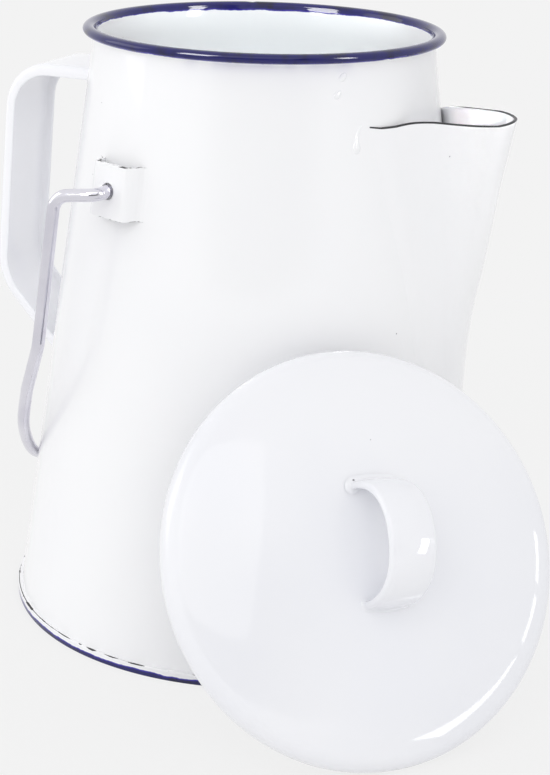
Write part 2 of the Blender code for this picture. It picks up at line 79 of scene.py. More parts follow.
body_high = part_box("pot_body")[1]
assert abs(body_high.z - POT_HEIGHT - BEAD_HALF_HEIGHT) < SEATING_GAP
assert abs(body_high.x - BASE_RADIUS) < SEATING_GAP
print("wall taper in degrees:", round(math.degrees(TAPER), 2))


def wall_radius(z):
    """Outside radius of the wall at a height."""
    return BASE_RADIUS + (MOUTH_RADIUS - BASE_RADIUS) * z / POT_HEIGHT


# %% [markdown]
# ## Camera
#
# The picture was taken with a long lens from a little above the rim. A camera in Blender looks
# along its own -Z, so it is tipped up from straight down, turned to its bearing, and rolled last.

# %% Camera
CAMERA_PLACE = Vector((0.2464, -0.5806, 0.2938))
CAMERA_BEARING = math.radians(22.37)
CAMERA_PITCH = 0.3345
CAMERA_ROLL = 0.0296
LENS = 87.67

camera_data = bpy.data.cameras.new("camera")
camera_data.lens = LENS
camera = bpy.data.objects.new("camera", camera_data)
aim = Matrix.Rotation(CAMERA_BEARING, 4, "Z") @ Matrix.Rotation(math.pi / 2 - CAMERA_PITCH, 4, "X")
camera.matrix_world = Matrix.Translation(CAMERA_PLACE) @ aim @ Matrix.Rotation(CAMERA_ROLL, 4, "Z")
bpy.context.scene.collection.objects.link(camera)
bpy.context.scene.camera = camera
print("camera at", [round(c, 3) for c in CAMERA_PLACE])

# %% [markdown]
# ## Lines and arcs
#
# Most pieces are a line that is turned, swept or lofted. Curve objects could hold these lines, but
# plain lists of points are easier to measure and to cut. The helpers draw a plain arc, a smooth
# curve through a few chosen points, and a bent line like a wire in a vice.

# %% Line helpers


def arc(centre, radius, start, end, steps):
    """Points along an arc in a plane, both ends included."""
    angles = np.linspace(start, end, steps + 1)
    return [(centre[0] + radius * math.cos(a), centre[1] + radius * math.sin(a)) for a in angles]


def smooth_through(points, steps):
    """A Catmull-Rom curve through the points, with some steps in each span."""
    p = np.array([points[0]] + list(points) + [points[-1]], float)
    curve = [p[1]]
    for k in range(1, len(p) - 2):
        for t in np.linspace(0.0, 1.0, steps + 1)[1:]:
            a = 2.0 * p[k]
            b = p[k + 1] - p[k - 1]
            c = 2.0 * p[k - 1] - 5.0 * p[k] + 4.0 * p[k + 1] - p[k + 2]
            d = 3.0 * p[k] - p[k - 1] - 3.0 * p[k + 1] + p[k + 2]
            curve.append(0.5 * (a + b * t + c * t ** 2 + d * t ** 3))
    return curve


def bend_corners(points, radii, steps):
    """Replace each inner corner of a line, in a plane or in space, with an arc."""
    p = [np.array(point, float) for point in points]
    line = [p[0]]
    for k in range(1, len(p) - 1):
        back = (p[k - 1] - p[k]) / np.linalg.norm(p[k - 1] - p[k])
        ahead = (p[k + 1] - p[k]) / np.linalg.norm(p[k + 1] - p[k])
        half = 0.5 * math.acos(float(np.clip(back @ ahead, -1.0, 1.0)))
        run = radii[k - 1] / math.tan(half)
        run = min(run, 0.5 * np.linalg.norm(p[k + 1] - p[k]), 0.5 * np.linalg.norm(p[k - 1] - p[k]))
        radius = run * math.tan(half)
        middle = (back + ahead) / np.linalg.norm(back + ahead)
        centre = p[k] + middle * math.hypot(radius, run)
        first = p[k] + back * run - centre
        last = p[k] + ahead * run - centre
        sweep = math.pi - 2.0 * half
        for t in np.linspace(0.0, 1.0, steps + 1):
            weight_first = math.sin((1.0 - t) * sweep) / math.sin(sweep)
            weight_last = math.sin(t * sweep) / math.sin(sweep)
            line.append(centre + first * weight_first + last * weight_last)
    line.append(p[-1])
    return line


def densify(points, longest):
    """Split the long straight runs of a line, so that no step is longer than a length."""
    line = [np.array(points[0], float)]
    for point in points[1:]:
        start = line[-1]
        step = np.array(point, float) - start
        count = max(1, math.ceil(np.linalg.norm(step) / longest))
        line += [start + step * (k + 1) / count for k in range(count)]
    return line


print("points in one rounded corner:", len(bend_corners([(0, 0), (1, 0), (1, 1)], [0.2], 6)))

# %% [markdown]
# ## Meshes
#
# A turned piece comes from `revolve`, and a bent or lofted one from `skin`, which joins closed
# sections one after the other. A Screw modifier could turn the outlines as well, but a mesh that
# is built point by point is known in full, and its vertices can carry values for the enamel.
#
# Both end in `place_piece`, which lets the piece ride on its body and hides the plain solid that
# it stands for. Holes are cut with a Boolean that is applied at once, so no modifier stays.

# %% Mesh helpers
SMOOTH_ANGLE = math.radians(50.0)
MERGE_DISTANCE = 0.002 * MM


def new_object(name, builder):
    """Make an object of a bmesh and link it to the scene."""
    mesh = bpy.data.meshes.new(name)
    builder.to_mesh(mesh)
    builder.free()
    made = bpy.data.objects.new(name, mesh)
    bpy.context.scene.collection.objects.link(made)
    return made


def place_piece(name, builder, material, body, node, matrix=None):
    """Make a piece of a bmesh that rides on a body and stands for a CAD node, if any."""
    bmesh.ops.remove_doubles(builder, verts=builder.verts[:], dist=MERGE_DISTANCE)
    bmesh.ops.recalc_face_normals(builder, faces=builder.faces[:])
    piece = new_object(name, builder)
    mesh = piece.data
    if matrix is not None:
        mesh.transform(matrix)
    mesh.shade_smooth()
    mesh.set_sharp_from_angle(angle=SMOOTH_ANGLE)
    mesh.materials.append(material)
    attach(piece, body)
    if node is not None:
        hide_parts(node)
    print(name, "has", len(mesh.polygons), "faces")
    return piece


def cut_away(target, builder):
    """Cut a bmesh out of a piece and keep the result as the piece's own mesh."""
    cutter = new_object("cutter", builder)
    modifier = target.modifiers.new("cut", "BOOLEAN")
    modifier.object = cutter
    bpy.context.view_layer.update()
    graph = bpy.context.evaluated_depsgraph_get()
    target.data = bpy.data.meshes.new_from_object(target.evaluated_get(graph))
    target.modifiers.clear()
    bpy.data.objects.remove(cutter)


def revolve(profile, segments):
    """Turn a closed outline of (radius, height) points once round the Z axis."""
    builder = bmesh.new()
    turn = np.linspace(0.0, 2.0 * math.pi, segments, endpoint=False)
    rings = []
    for radius, height in profile:
        if radius == 0:
            rings.append([builder.verts.new((0, 0, height))])
            continue
        rings.append([builder.verts.new((radius * math.cos(a), radius * math.sin(a), height))
                      for a in turn])
    for first, second in zip(rings, rings[1:] + rings[:1]):
        if len(first) == 1 and len(second) == 1:
            continue
        for k in range(segments):
            corners = [first[k % len(first)], first[(k + 1) % len(first)],
                       second[(k + 1) % len(second)], second[k % len(second)]]
            builder.faces.new(list(dict.fromkeys(corners)))
    return builder


def skin(sections):
    """Join closed sections of equal point counts, one after the other, and cap both ends."""
    builder = bmesh.new()
    rings = [[builder.verts.new(point) for point in section] for section in sections]
    count = len(rings[0])
    for first, second in zip(rings, rings[1:]):
        for k in range(count):
            n = (k + 1) % count
            builder.faces.new((first[k], first[n], second[n], second[k]))
    for ring in (rings[0], rings[-1]):
        for k in range(count // 2 - 1):
            builder.faces.new((ring[k], ring[k + 1], ring[count - 2 - k], ring[count - 1 - k]))
    return builder


def paint(piece, name, reach):
    """Keep a distance for every vertex as an attribute that the enamel's shader reads."""
    places = [np.array(vertex.co) for vertex in piece.data.vertices]
    layer = piece.data.attributes.new(name, "FLOAT", "POINT")
    layer.data.foreach_set("value", [float(reach(place)) for place in places])


# %% [markdown]
# ## Nodes in few words
#
# A material is a tree of nodes. It could be wired by hand in the editor, but a script makes the
# same tree each time. Each helper makes one kind of node and hands back its output socket.

# %% Node helpers


def new_material(name):
    """A material, its node tree, its Principled shader and the socket of the place on the piece."""
    material = bpy.data.materials.new(name)
    material.use_nodes = True
    tree = material.node_tree
    coordinates = tree.nodes.new("ShaderNodeTexCoord")
    return material, tree, tree.nodes["Principled BSDF"], coordinates.outputs["Object"]


def link(tree, source, target):
    """Join two sockets."""
    tree.links.new(source, target)


def math_node(tree, operation, *values, clamp=False):
    """A Math node whose inputs are sockets or plain numbers."""
    node = tree.nodes.new("ShaderNodeMath")
    node.operation = operation
    node.use_clamp = clamp
    for socket, value in zip(node.inputs, values):
        if isinstance(value, (int, float)):
            socket.default_value = value
        else:
            link(tree, value, socket)
    return node.outputs[0]


def noise_node(tree, place, scale, detail=2.0, roughness=0.5):
    """Noise at a scale in features for each metre."""
    node = tree.nodes.new("ShaderNodeTexNoise")
    node.inputs["Scale"].default_value = scale
    node.inputs["Detail"].default_value = detail
    node.inputs["Roughness"].default_value = roughness
    link(tree, place, node.inputs["Vector"])
    return node.outputs["Fac"]


def ramp_between(tree, value, low, high):
    """0 below a value and 1 above another, smooth in between."""
    node = tree.nodes.new("ShaderNodeMapRange")
    node.interpolation_type = "SMOOTHSTEP"
    node.inputs["From Min"].default_value = low
    node.inputs["From Max"].default_value = high
    link(tree, value, node.inputs["Value"])
    return node.outputs["Result"]


def mix_colours(tree, factor, first, second):
    """Mix two colours, each a socket or three numbers."""
    node = tree.nodes.new("ShaderNodeMix")
    node.data_type = "RGBA"
    link(tree, factor, node.inputs["Factor"])
    for socket, colour in ((node.inputs[6], first), (node.inputs[7], second)):
        if isinstance(colour, tuple):
            socket.default_value = (*colour, 1.0)
        else:
            link(tree, colour, socket)
    return node.outputs[2]


def bump(tree, height, strength, distance, under=None):
    """A Bump node over an optional first one."""
    node = tree.nodes.new("ShaderNodeBump")
    node.inputs["Strength"].default_value = strength
    node.inputs["Distance"].default_value = distance
    link(tree, height, node.inputs["Height"])
    if under is not None:
        link(tree, under, node.inputs["Normal"])
    return node.outputs["Normal"]


def attribute(tree, name):
    """The value of a vertex attribute."""
    node = tree.nodes.new("ShaderNodeAttribute")
    node.attribute_name = name
    return node.outputs["Fac"]


# %% [markdown]
# ## Enamel
#
# Enamel is glass over steel: a smooth, slightly wavy, sharply reflecting surface. Its white is
# never quite even, and it has a few pinholes. One flat white would look like plastic, so noise
# moves the colour, the roughness and the surface a little, each at a scale of its own.

# %% White glass
WHITE_GLASS = (0.940, 0.942, 0.956)
COOL_GLASS = (0.921, 0.924, 0.944)
SPECK = (0.30, 0.29, 0.33)
SPECK_SPACING = 15.0 * MM
SPECK_RADIUS = 0.2 * MM
SPECK_BLUR = 1.3
GLASS_IOR = 1.52
CLOUD_SCALE = 14.0
GRAIN_SCALE = 420.0
RIPPLE_SCALE = 34.0
RIPPLE_HEIGHT = 0.25 * MM
SKIN_SCALE = 300.0
SKIN_HEIGHT = 0.01 * MM


def pinholes(tree, place):
    """1 at the few pinholes: where the surface passes close to one of the scattered points."""
    node = tree.nodes.new("ShaderNodeTexVoronoi")
    node.inputs["Scale"].default_value = 1.0 / SPECK_SPACING
    link(tree, place, node.inputs["Vector"])
    reach = SPECK_RADIUS / SPECK_SPACING
    near = math_node(tree, "MULTIPLY", node.outputs["Distance"], -1.0)
    return ramp_between(tree, near, -SPECK_BLUR * reach, -reach)


def white_glass(tree, place, white, cool):
    """Colour, roughness and normal of plain enamel."""
    cloud = noise_node(tree, place, CLOUD_SCALE, 2.0)
    colour = mix_colours(tree, ramp_between(tree, cloud, 0.35, 0.75), white, cool)
    colour = mix_colours(tree, pinholes(tree, place), colour, SPECK)
    grain = ramp_between(tree, noise_node(tree, place, GRAIN_SCALE, 2.0), 0.2, 0.9)
    roughness = math_node(tree, "MULTIPLY_ADD", grain, 0.04, 0.04)
    normal = bump(tree, noise_node(tree, place, RIPPLE_SCALE, 1.0), 0.35, RIPPLE_HEIGHT)
    normal = bump(tree, noise_node(tree, place, SKIN_SCALE, 1.0), 0.05, SKIN_HEIGHT, normal)
    return colour, roughness, normal


print("pinholes are about", round(SPECK_SPACING / MM), "mm apart")

# %% [markdown]
# Cobalt enamel is painted over the edges. Its border is ragged, and lighter where the glass is
# thin. The border could be painted by hand on an image. Here each piece stores on its vertices
# how far they are beyond the border, and noise frays that distance, so the border stays sharp
# however near the camera comes.

# %% Cobalt
COBALT = (0.004, 0.003, 0.11)
DARK_COBALT = (0.004, 0.003, 0.035)
THIN_COBALT = (0.05, 0.035, 0.40)
FRAYED_REACH = 0.75 * MM
FRAY_SCALE = 150.0
STREAK_SCALE = 90.0
COBALT_THICKNESS = 0.12 * MM


def add_cobalt(tree, place, colour, normal):
    """Lay cobalt over the white where the distance stored as beyond_cobalt says so."""
    frayed = noise_node(tree, place, FRAY_SCALE, 3.0, 0.6)
    frayed = math_node(tree, "MULTIPLY_ADD", frayed, 2.0 * FRAYED_REACH, -FRAYED_REACH)
    beyond = math_node(tree, "ADD", attribute(tree, "beyond_cobalt"), frayed)
    streak = ramp_between(tree, noise_node(tree, place, STREAK_SCALE, 3.0, 0.6), 0.50, 0.70)
    blue = mix_colours(tree, streak, COBALT, DARK_COBALT)
    thin = ramp_between(tree, beyond, -FRAYED_REACH, -0.05 * MM)
    blue = mix_colours(tree, thin, blue, THIN_COBALT)
    bare_white = ramp_between(tree, beyond, -0.04 * MM, 0.08 * MM)
    step = ramp_between(tree, beyond, -0.4 * MM, 0.4 * MM)
    return (mix_colours(tree, bare_white, blue, colour),
            bump(tree, step, 0.4, -COBALT_THICKNESS, normal))


print("the cobalt's border frays by", FRAYED_REACH / MM, "mm to each side")

# %% [markdown]
# Where an edge has been knocked, the glass is gone and dark steel shows. A second stored distance
# says how far a point is from such an edge. Noise decides where the edge is broken and how wide
# the bare line is there, which looks less even than a line of one width would.

# %% Chips
BARE_STEEL = (0.02, 0.02, 0.024)
CHIP_EDGE = 0.1 * MM
CHIP_DEPTH = 0.15 * MM


def add_chips(tree, place, surface, width, share, scale):
    """Take the glass away where the distance stored as from_edge is small and noise breaks it."""
    colour, roughness, normal = surface
    broken = noise_node(tree, place, scale, 4.0, 0.6)
    broken = ramp_between(tree, broken, 0.62 - 0.3 * share, 0.72 - 0.3 * share)
    bare = math_node(tree, "MULTIPLY", broken, width)
    bare = math_node(tree, "SUBTRACT", bare, attribute(tree, "from_edge"))
    chipped = ramp_between(tree, bare, 0.0, CHIP_EDGE)
    rougher = math_node(tree, "MULTIPLY", chipped, 0.4)
    return (mix_colours(tree, chipped, colour, BARE_STEEL),
            math_node(tree, "ADD", roughness, rougher, clamp=True),
            bump(tree, chipped, 0.5, -CHIP_DEPTH, normal))


# %% [markdown]
# One function makes every enamel of the kettle from these layers. The lid and the handle get
# copies of the white that are painted shade: the lid's is darker and bluer, the handle's is bluer.

# %% Enamels
# Painted shade: a darker, bluer white for the lid and its knob.
LID_SHADED_WHITE = (0.895, 0.90, 0.93)
LID_SHADED_COOL = (0.855, 0.863, 0.905)
# Painted shade: a bluer white for the handle.
HANDLE_SHADED_WHITE = (0.942, 0.945, 0.975)
HANDLE_SHADED_COOL = (0.925, 0.93, 0.965)


def make_enamel(name, white=WHITE_GLASS, cool=COOL_GLASS, cobalt=False, chip_width=0.0,
                chip_share=0.5, chip_scale=120.0):
    """White enamel, with a cobalt edge and chipped edges where a piece has them."""
    material, tree, shader, place = new_material(name)
    shader.inputs["IOR"].default_value = GLASS_IOR
    colour, roughness, normal = white_glass(tree, place, white, cool)
    if cobalt:
        colour, normal = add_cobalt(tree, place, colour, normal)
    if chip_width:
        colour, roughness, normal = add_chips(tree, place, (colour, roughness, normal),
                                              chip_width, chip_share, chip_scale)
    link(tree, colour, shader.inputs["Base Color"])
    link(tree, roughness, shader.inputs["Roughness"])
    link(tree, normal, shader.inputs["Normal"])
    return material


plain_enamel = make_enamel("white_enamel")
rim_enamel = make_enamel("white_enamel_cobalt_rim", cobalt=True)
foot_enamel = make_enamel("white_enamel_cobalt_foot", cobalt=True, chip_width=0.3 * MM,
                          chip_share=0.25, chip_scale=170.0)
lid_shaded_enamel = make_enamel("white_enamel_lid_painted_shade", LID_SHADED_WHITE, LID_SHADED_COOL)
handle_shaded_enamel = make_enamel("white_enamel_handle_painted_shade", HANDLE_SHADED_WHITE, HANDLE_SHADED_COOL)
print("enamels:", [made.name for made in (plain_enamel, rim_enamel, foot_enamel, lid_shaded_enamel,
                                          handle_shaded_enamel)])

# %% [markdown]
# ## The wall and its rolled rim
#
# The wall's edge is rolled outward into a bead. The bead could be a ring of its own, but turning
# one outline makes the cone, the bead and the inside in one go, with no seam where glass ran
# over it. A real bead closes with a small joint, so its ring is pinched at one place.

# %% Wall
RIM_SEGMENTS = 288
WALL_FOOT = SHEET + SEATING_GAP
NECK_FILLET = 0.7 * MM
COBALT_OUTSIDE = POT_HEIGHT - 1.45 * MM
COBALT_INSIDE = POT_HEIGHT - 0.75 * MM
OUTSIDE_WANDER = 0.25 * MM
INSIDE_WANDER = 0.4 * MM
WALL_STEP = 8.0 * MM
JOINT_BEARING = math.radians(118.0)
JOINT_WIDTH = 0.7 * MM
JOINT_DEPTH = 0.35 * MM
JOINT_REACH = 6.0 * MM


def wall_outline():
    """The wall's outside, its bead and its inside, as (radius, height) points."""
    low = POT_HEIGHT - BEAD_HALF_HEIGHT
    neck = low - 2 * NECK_FILLET
    bead = [(BEAD_MIDDLE + across * BEAD_HALF_WIDTH, POT_HEIGHT + up * BEAD_HALF_HEIGHT)
            for across, up in arc((0, 0), 1.0, -math.pi / 2, math.pi, 30)]
    crease = bend_corners([(wall_radius(neck), neck), (wall_radius(low), low), bead[0]],
                          [NECK_FILLET], 6)
    outside = densify([(wall_radius(WALL_FOOT), WALL_FOOT), crease[0]], WALL_STEP)
    crown = POT_HEIGHT - BEAD_HALF_HEIGHT / 2
    inside = [(wall_radius(crown) - SHEET, crown), (wall_radius(WALL_FOOT) - SHEET, WALL_FOOT)]
    return outside[:-1] + crease[:-1] + bead + densify(inside, WALL_STEP)


def pinch_joint(builder):
    """Press a narrow notch across the bead where its two ends meet."""
    joint = BEAD_MIDDLE * np.array((math.cos(JOINT_BEARING), math.sin(JOINT_BEARING)))
    for vertex in builder.verts:
        flat = np.array(vertex.co[:2])
        below = vertex.co.z < POT_HEIGHT - BEAD_HALF_HEIGHT
        if below or np.linalg.norm(flat - joint) > JOINT_REACH:
            continue
        along = np.linalg.norm(flat) * math.sin(math.atan2(flat[1], flat[0]) - JOINT_BEARING)
        press = JOINT_DEPTH * math.exp(-(along / JOINT_WIDTH) ** 2)
        middle = Vector((*(flat / np.linalg.norm(flat) * BEAD_MIDDLE), POT_HEIGHT))
        vertex.co += (middle - vertex.co).normalized() * press


def beyond_rim_cobalt(place):
    """How far a point of the wall lies below the cobalt's border, which wanders round the rim."""
    turn = math.atan2(place[1], place[0])
    if math.hypot(place[0], place[1]) > wall_radius(place[2]) - 0.5 * SHEET:
        return COBALT_OUTSIDE + OUTSIDE_WANDER * math.sin(3.0 * turn + 2.0) - place[2]
    return COBALT_INSIDE + INSIDE_WANDER * math.sin(2.0 * turn + 0.6) - place[2]


wall_builder = revolve(wall_outline(), RIM_SEGMENTS)
pinch_joint(wall_builder)
wall = place_piece("kettle_wall", wall_builder, rim_enamel, "pot", "pot_body")

# %% [markdown]
# The strainer behind the spout is a field of small punched holes that keeps the grounds back.
# Dark dots in the material would do from afar, but light would not pass them. So one Boolean cuts
# them all, and the cobalt's distances are stored after it, on the final mesh.

# %% Strainer
HOLE_RADIUS = 2.2 * MM
HOLE_PITCH = 9.5 * MM
HOLES_BOTTOM = 88.0 * MM
HOLES_TOP = 164.0 * MM
PUNCH_LENGTH = 6.0 * MM


def punch_strainer(target):
    """Cut staggered rows of holes through the wall behind the spout."""
    builder = bmesh.new()
    row_step = HOLE_PITCH * math.sqrt(3.0) / 2.0
    for row in range(int((HOLES_TOP - HOLES_BOTTOM) / row_step) + 1):
        height = HOLES_BOTTOM + row * row_step
        radius = wall_radius(height) - SHEET / 2.0
        for place in ((-1, 0, 1) if row % 2 == 0 else (-0.5, 0.5)):
            stand = Matrix.Rotation(place * HOLE_PITCH / radius, 4, "Z")
            stand = stand @ Matrix.Translation((radius, 0, height))
            bmesh.ops.create_cone(builder, cap_ends=True, segments=20, radius1=HOLE_RADIUS,
                                  radius2=HOLE_RADIUS, depth=PUNCH_LENGTH,
                                  matrix=stand @ Matrix.Rotation(math.pi / 2, 4, "Y"))
    cut_away(target, builder)
    print("strained wall has", len(target.data.polygons), "faces")


punch_strainer(wall)
paint(wall, "beyond_cobalt", beyond_rim_cobalt)

# %% [markdown]
# ## The foot
#
# The bottom plate is folded round the foot of the wall. A narrow white step shows first, with the
# wear of many tables along its upper edge, and below it the cobalt band that the pot stands on.
# Noise alone would spread the wear evenly, so a few worn places are added to it, each given by
# its bearing and its reach in degrees, and by its width in millimetres.

# %% Foot
SEAM_HEIGHT = 3.5 * MM
SEAM_SHEET = 0.9 * MM
SEAM_ROUNDING = 0.45 * MM
FOLD_LAP = 0.1 * MM
COBALT_BAND = 1.9 * MM
WORN_PLACES = ((-136.0, 23.0, 0.20), (-115.0, 2.4, 0.30), (-105.5, 1.1, 0.55), (-99.8, 1.6, 0.36),
               (-95.0, 4.0, 0.12), (-78.5, 0.9, 0.26), (-75.5, 0.5, 0.32))


def foot_outline():
    """The folded foot, closed on to the wall, with its flat underside."""
    outside = wall_radius(SHEET) + SEATING_GAP + SEAM_SHEET
    inner = wall_radius(SEAM_HEIGHT) - SHEET
    r = SEAM_ROUNDING
    line = [(0, 0), (outside - 2 * r, 0)]
    line += arc((outside - r, r), r, -math.pi / 2, 0, 6)
    line += arc((outside - r, SEAM_HEIGHT - r), r, 0, math.pi / 2, 6)
    line += [(wall_radius(SEAM_HEIGHT) - FOLD_LAP, SEAM_HEIGHT - FOLD_LAP)]
    line += [(wall_radius(SHEET) - FOLD_LAP, SHEET + FOLD_LAP), (inner, SHEET + FOLD_LAP)]
    line += arc((inner - 0.4 * SHEET, SEAM_HEIGHT - 0.4 * SHEET), 0.4 * SHEET, 0, math.pi, 6)
    line += [(inner - 0.8 * SHEET - r, SHEET), (0, SHEET)]
    return line


def beyond_foot_cobalt(place):
    """How far a point of the foot lies above the cobalt band."""
    inside = math.hypot(place[0], place[1]) < wall_radius(0) - SHEET and place[2] > 0.5 * SHEET
    return 4 * MM if inside else place[2] - COBALT_BAND


def from_foot_edge(place):
    """Distance of a point from the foot's upper outer edge, made less at the worn places."""
    outside = wall_radius(SHEET) + SEATING_GAP + SEAM_SHEET
    away = math.hypot(math.hypot(place[0], place[1]) - outside + 0.4 * MM, place[2] - SEAM_HEIGHT)
    turn = math.degrees(math.atan2(place[1], place[0]))
    return away - max(width * MM * math.exp(-((turn - bearing) / reach) ** 4)
                      for bearing, reach, width in WORN_PLACES)


foot = place_piece("folded_foot", revolve(foot_outline(), RIM_SEGMENTS), foot_enamel,
                   "pot", "bottom_pan")
paint(foot, "beyond_cobalt", beyond_foot_cobalt)
paint(foot, "from_edge", from_foot_edge)

# %% [markdown]
# ## The spout
#
# One sheet is bent to a beak and welded to the wall along both edges. It could be pulled from a
# subdivided plane, but every level of it is the same kind of outline. So a few shares of its
# width and reach, joined by a smooth curve, give the whole loft.

# %% Spout sizes
SPOUT_MOUTH_HEIGHT = 178.0 * MM
SPOUT_TOE_HEIGHT = 62.0 * MM
SPOUT_REACH = 27.6 * MM
SPOUT_ROOT_HALF_WIDTH = 32.2 * MM
SPOUT_EDGE = 0.35 * MM
LIP_ROUNDING = 0.4 * MM
SPOUT_MOUTH_SHARES = [(1.0, 0.0), (0.85, 0.02), (0.7, 0.05), (0.58, 0.14), (0.515, 0.32),
                      (0.5, 0.53), (0.465, 0.73), (0.36, 0.88), (0.19, 0.97), (0.0, 1.0)]
SPOUT_TOE_SHARES = [(1.0, 0.0), (0.88, 0.05), (0.76, 0.15), (0.64, 0.29), (0.52, 0.45),
                    (0.41, 0.61), (0.3, 0.76), (0.2, 0.88), (0.1, 0.965), (0.0, 1.0)]
SPOUT_LEVEL_SHARES = [(0.0, 0.10, 0.0), (0.05, 0.30, 0.014), (0.11, 0.46, 0.04),
                      (0.19, 0.58, 0.085), (0.296, 0.685, 0.16), (0.38, 0.715, 0.235),
                      (0.47, 0.74, 0.335), (0.565, 0.775, 0.462), (0.696, 0.85, 0.618),
                      (0.82, 0.925, 0.76), (0.914, 0.965, 0.885), (1.0, 1.0, 1.0)]
LIP_ACROSS_SHARES = [0.0, 0.28, 0.46, 0.52, 0.60, 0.75, 0.9, 1.0]
NEAR_LIP = np.array([0.2, -0.1, 0.3, 0.4, 0.1, -0.6, -0.6, 0.0]) * MM
FAR_LIP = np.array([0.2, 0.0, 0.2, -0.1, -1.1, -2.6, -4.0, -4.4]) * MM


def lip_height(across, side):
    """How far the lip rises or dips from level, because it was trimmed by hand."""
    return float(np.interp(across, LIP_ACROSS_SHARES, FAR_LIP if side > 0 else NEAR_LIP))


print("spout lip is trimmed by up to", round(-float(FAR_LIP.min()) / MM, 1), "mm")

# %% [markdown]
# A level is drawn twice, once for each side, because the lip was trimmed by hand and its two
# sides differ. Its outside leaves the wall in a fillet of melted glass. Its inside keeps one
# sheet's thickness from it, until the two meet at the weld.

# %% Spout levels
FILLET_SHARE = 0.15
INNER_LAP = 0.05 * MM


def spout_half(level, side, pinch):
    """Outside and inside of one half of a level, from the edge on the wall to the ridge."""
    height_share, width_share, reach_share = level
    half_width = width_share * SPOUT_ROOT_HALF_WIDTH
    reach = max(reach_share, 0.0) * SPOUT_REACH
    shares = [((1.0 - height_share) * np.array(toe) + height_share * np.array(mouth))
              for toe, mouth in zip(SPOUT_TOE_SHARES, SPOUT_MOUTH_SHARES)]
    outside = []
    for across, out in smooth_through(shares, 6):
        z = SPOUT_TOE_HEIGHT + height_share * (SPOUT_MOUTH_HEIGHT - SPOUT_TOE_HEIGHT)
        z += lip_height(across, side) * height_share ** 8
        v = across * half_width
        melt = min(1.0, (1.0 - across) / FILLET_SHARE)
        rise = (SEATING_GAP + SPOUT_EDGE) * melt ** 2 * (3.0 - 2.0 * melt)
        seat = math.sqrt(wall_radius(z) ** 2 - v ** 2)
        outside.append((seat + rise + max(float(out), 0.0) * reach, v, z))
    inside = []
    ends = [outside[0]] + outside + [(outside[-2][0], -outside[-2][1], 0.0)]
    for k, (x, v, z) in enumerate(outside):
        along = np.array(ends[k + 2][:2]) - np.array(ends[k][:2])
        along /= np.linalg.norm(along)
        seat = math.sqrt(wall_radius(z) ** 2 - v ** 2)
        thick = max(min(SHEET, x - seat) - pinch, 0.0)
        inner_v = max(v - thick * abs(along[0]), 0.0)
        inner_seat = math.sqrt(wall_radius(z) ** 2 - inner_v ** 2)
        inside.append((max(x - thick * abs(along[1]), inner_seat - INNER_LAP), inner_v, z))
        share = min(pinch, 0.5 * (x - seat))
        outside[k] = (x - share * abs(along[1]), max(v - share * abs(along[0]), 0.0), z)
    return outside, inside


def spout_section(level, pinch=0.0, lift=0.0):
    """One level of the spout as a closed outline: outside from edge to edge, then inside."""
    far_out, far_in = spout_half(level, 1, pinch)
    near_out, near_in = spout_half(level, -1, pinch)
    half = far_out + [(x, -v, z) for x, v, z in reversed(near_out[:-1])]
    back = far_in + [(x, -v, z) for x, v, z in reversed(near_in[:-1])]
    return [(x, v, z + lift) for x, v, z in half + back[::-1]]


levels = [spout_section(level) for level in smooth_through(SPOUT_LEVEL_SHARES, 6)]
print("spout levels:", len(levels), "of", len(levels[0]), "points")

# %% [markdown]
# The last levels close the sheet's cut edge with a small round. The glass is worn off along the
# lip, most of all on the near side, and the dark line there is what draws the spout's mouth.

# %% Spout
FAR_LIP_KEPT = 0.14 * MM

rounding = [spout_section((1.0, 1.0, 1.0), LIP_ROUNDING * (1.0 - math.cos(a)),
                          LIP_ROUNDING * math.sin(a))
            for a in np.linspace(0.0, math.pi / 2, 5)[1:]]
spout_enamel = make_enamel("white_enamel_bare_lip", chip_width=0.34 * MM, chip_share=1.2,
                           chip_scale=90.0)
spout_piece = place_piece("beak_spout", skin(levels + rounding), spout_enamel, "pot", "spout")


def from_lip(place):
    """How far a point of the spout lies below its lip; the far side has kept more of its glass."""
    side = 1 if place[1] > 0 else -1
    across = abs(place[1]) / SPOUT_ROOT_HALF_WIDTH
    kept = FAR_LIP_KEPT if side > 0 else 0.0
    return SPOUT_MOUTH_HEIGHT + 0.5 * LIP_ROUNDING + lip_height(across, side) + kept - place[2]


paint(spout_piece, "from_edge", from_lip)

# %% [markdown]
# Where the spout's weld ends, the glass has run down a little and set as drips. Bump could hint
# at them, but only a real ridge catches the windows. Each is a low rounded ridge along a few
# points of the wall, given by bearing in degrees, and height and half width in millimetres.

# %% Drips of glass
DRIP_RISE = 0.4
DRIP_SIDES = 16
THINNEST_DRIP = 0.05
DRIPS = [[(-35.9, 179.2, 0.1), (-36.1, 178.6, 0.5), (-37.3, 176.0, 0.5), (-37.6, 173.6, 0.9),
          (-37.7, 172.2, 1.3), (-37.8, 170.9, 0.9), (-37.9, 170.3, 0.1)],
         [(-40.7, 195.2, 0.1), (-41.2, 194.7, 0.9), (-42.4, 193.4, 0.9), (-43.0, 192.8, 0.1)],
         [(-42.7, 190.0, 0.1), (-43.2, 189.4, 0.8), (-44.2, 188.3, 1.0), (-44.8, 187.6, 0.1)]]


def drip_ring(before, spot, after, half_width):
    """One cross-section of a drip: an ellipse that lies low on the wall."""
    way = (after - before) / np.linalg.norm(after - before)
    out = np.array((*spot[:2], wall_radius(spot[2]) * math.tan(TAPER)))
    out = out / np.linalg.norm(out)
    across = np.cross(way, out)
    return [spot + half_width * (math.cos(a) * across + DRIP_RISE * math.sin(a) * out)
            for a in np.linspace(0.0, 2.0 * math.pi, DRIP_SIDES, endpoint=False)]


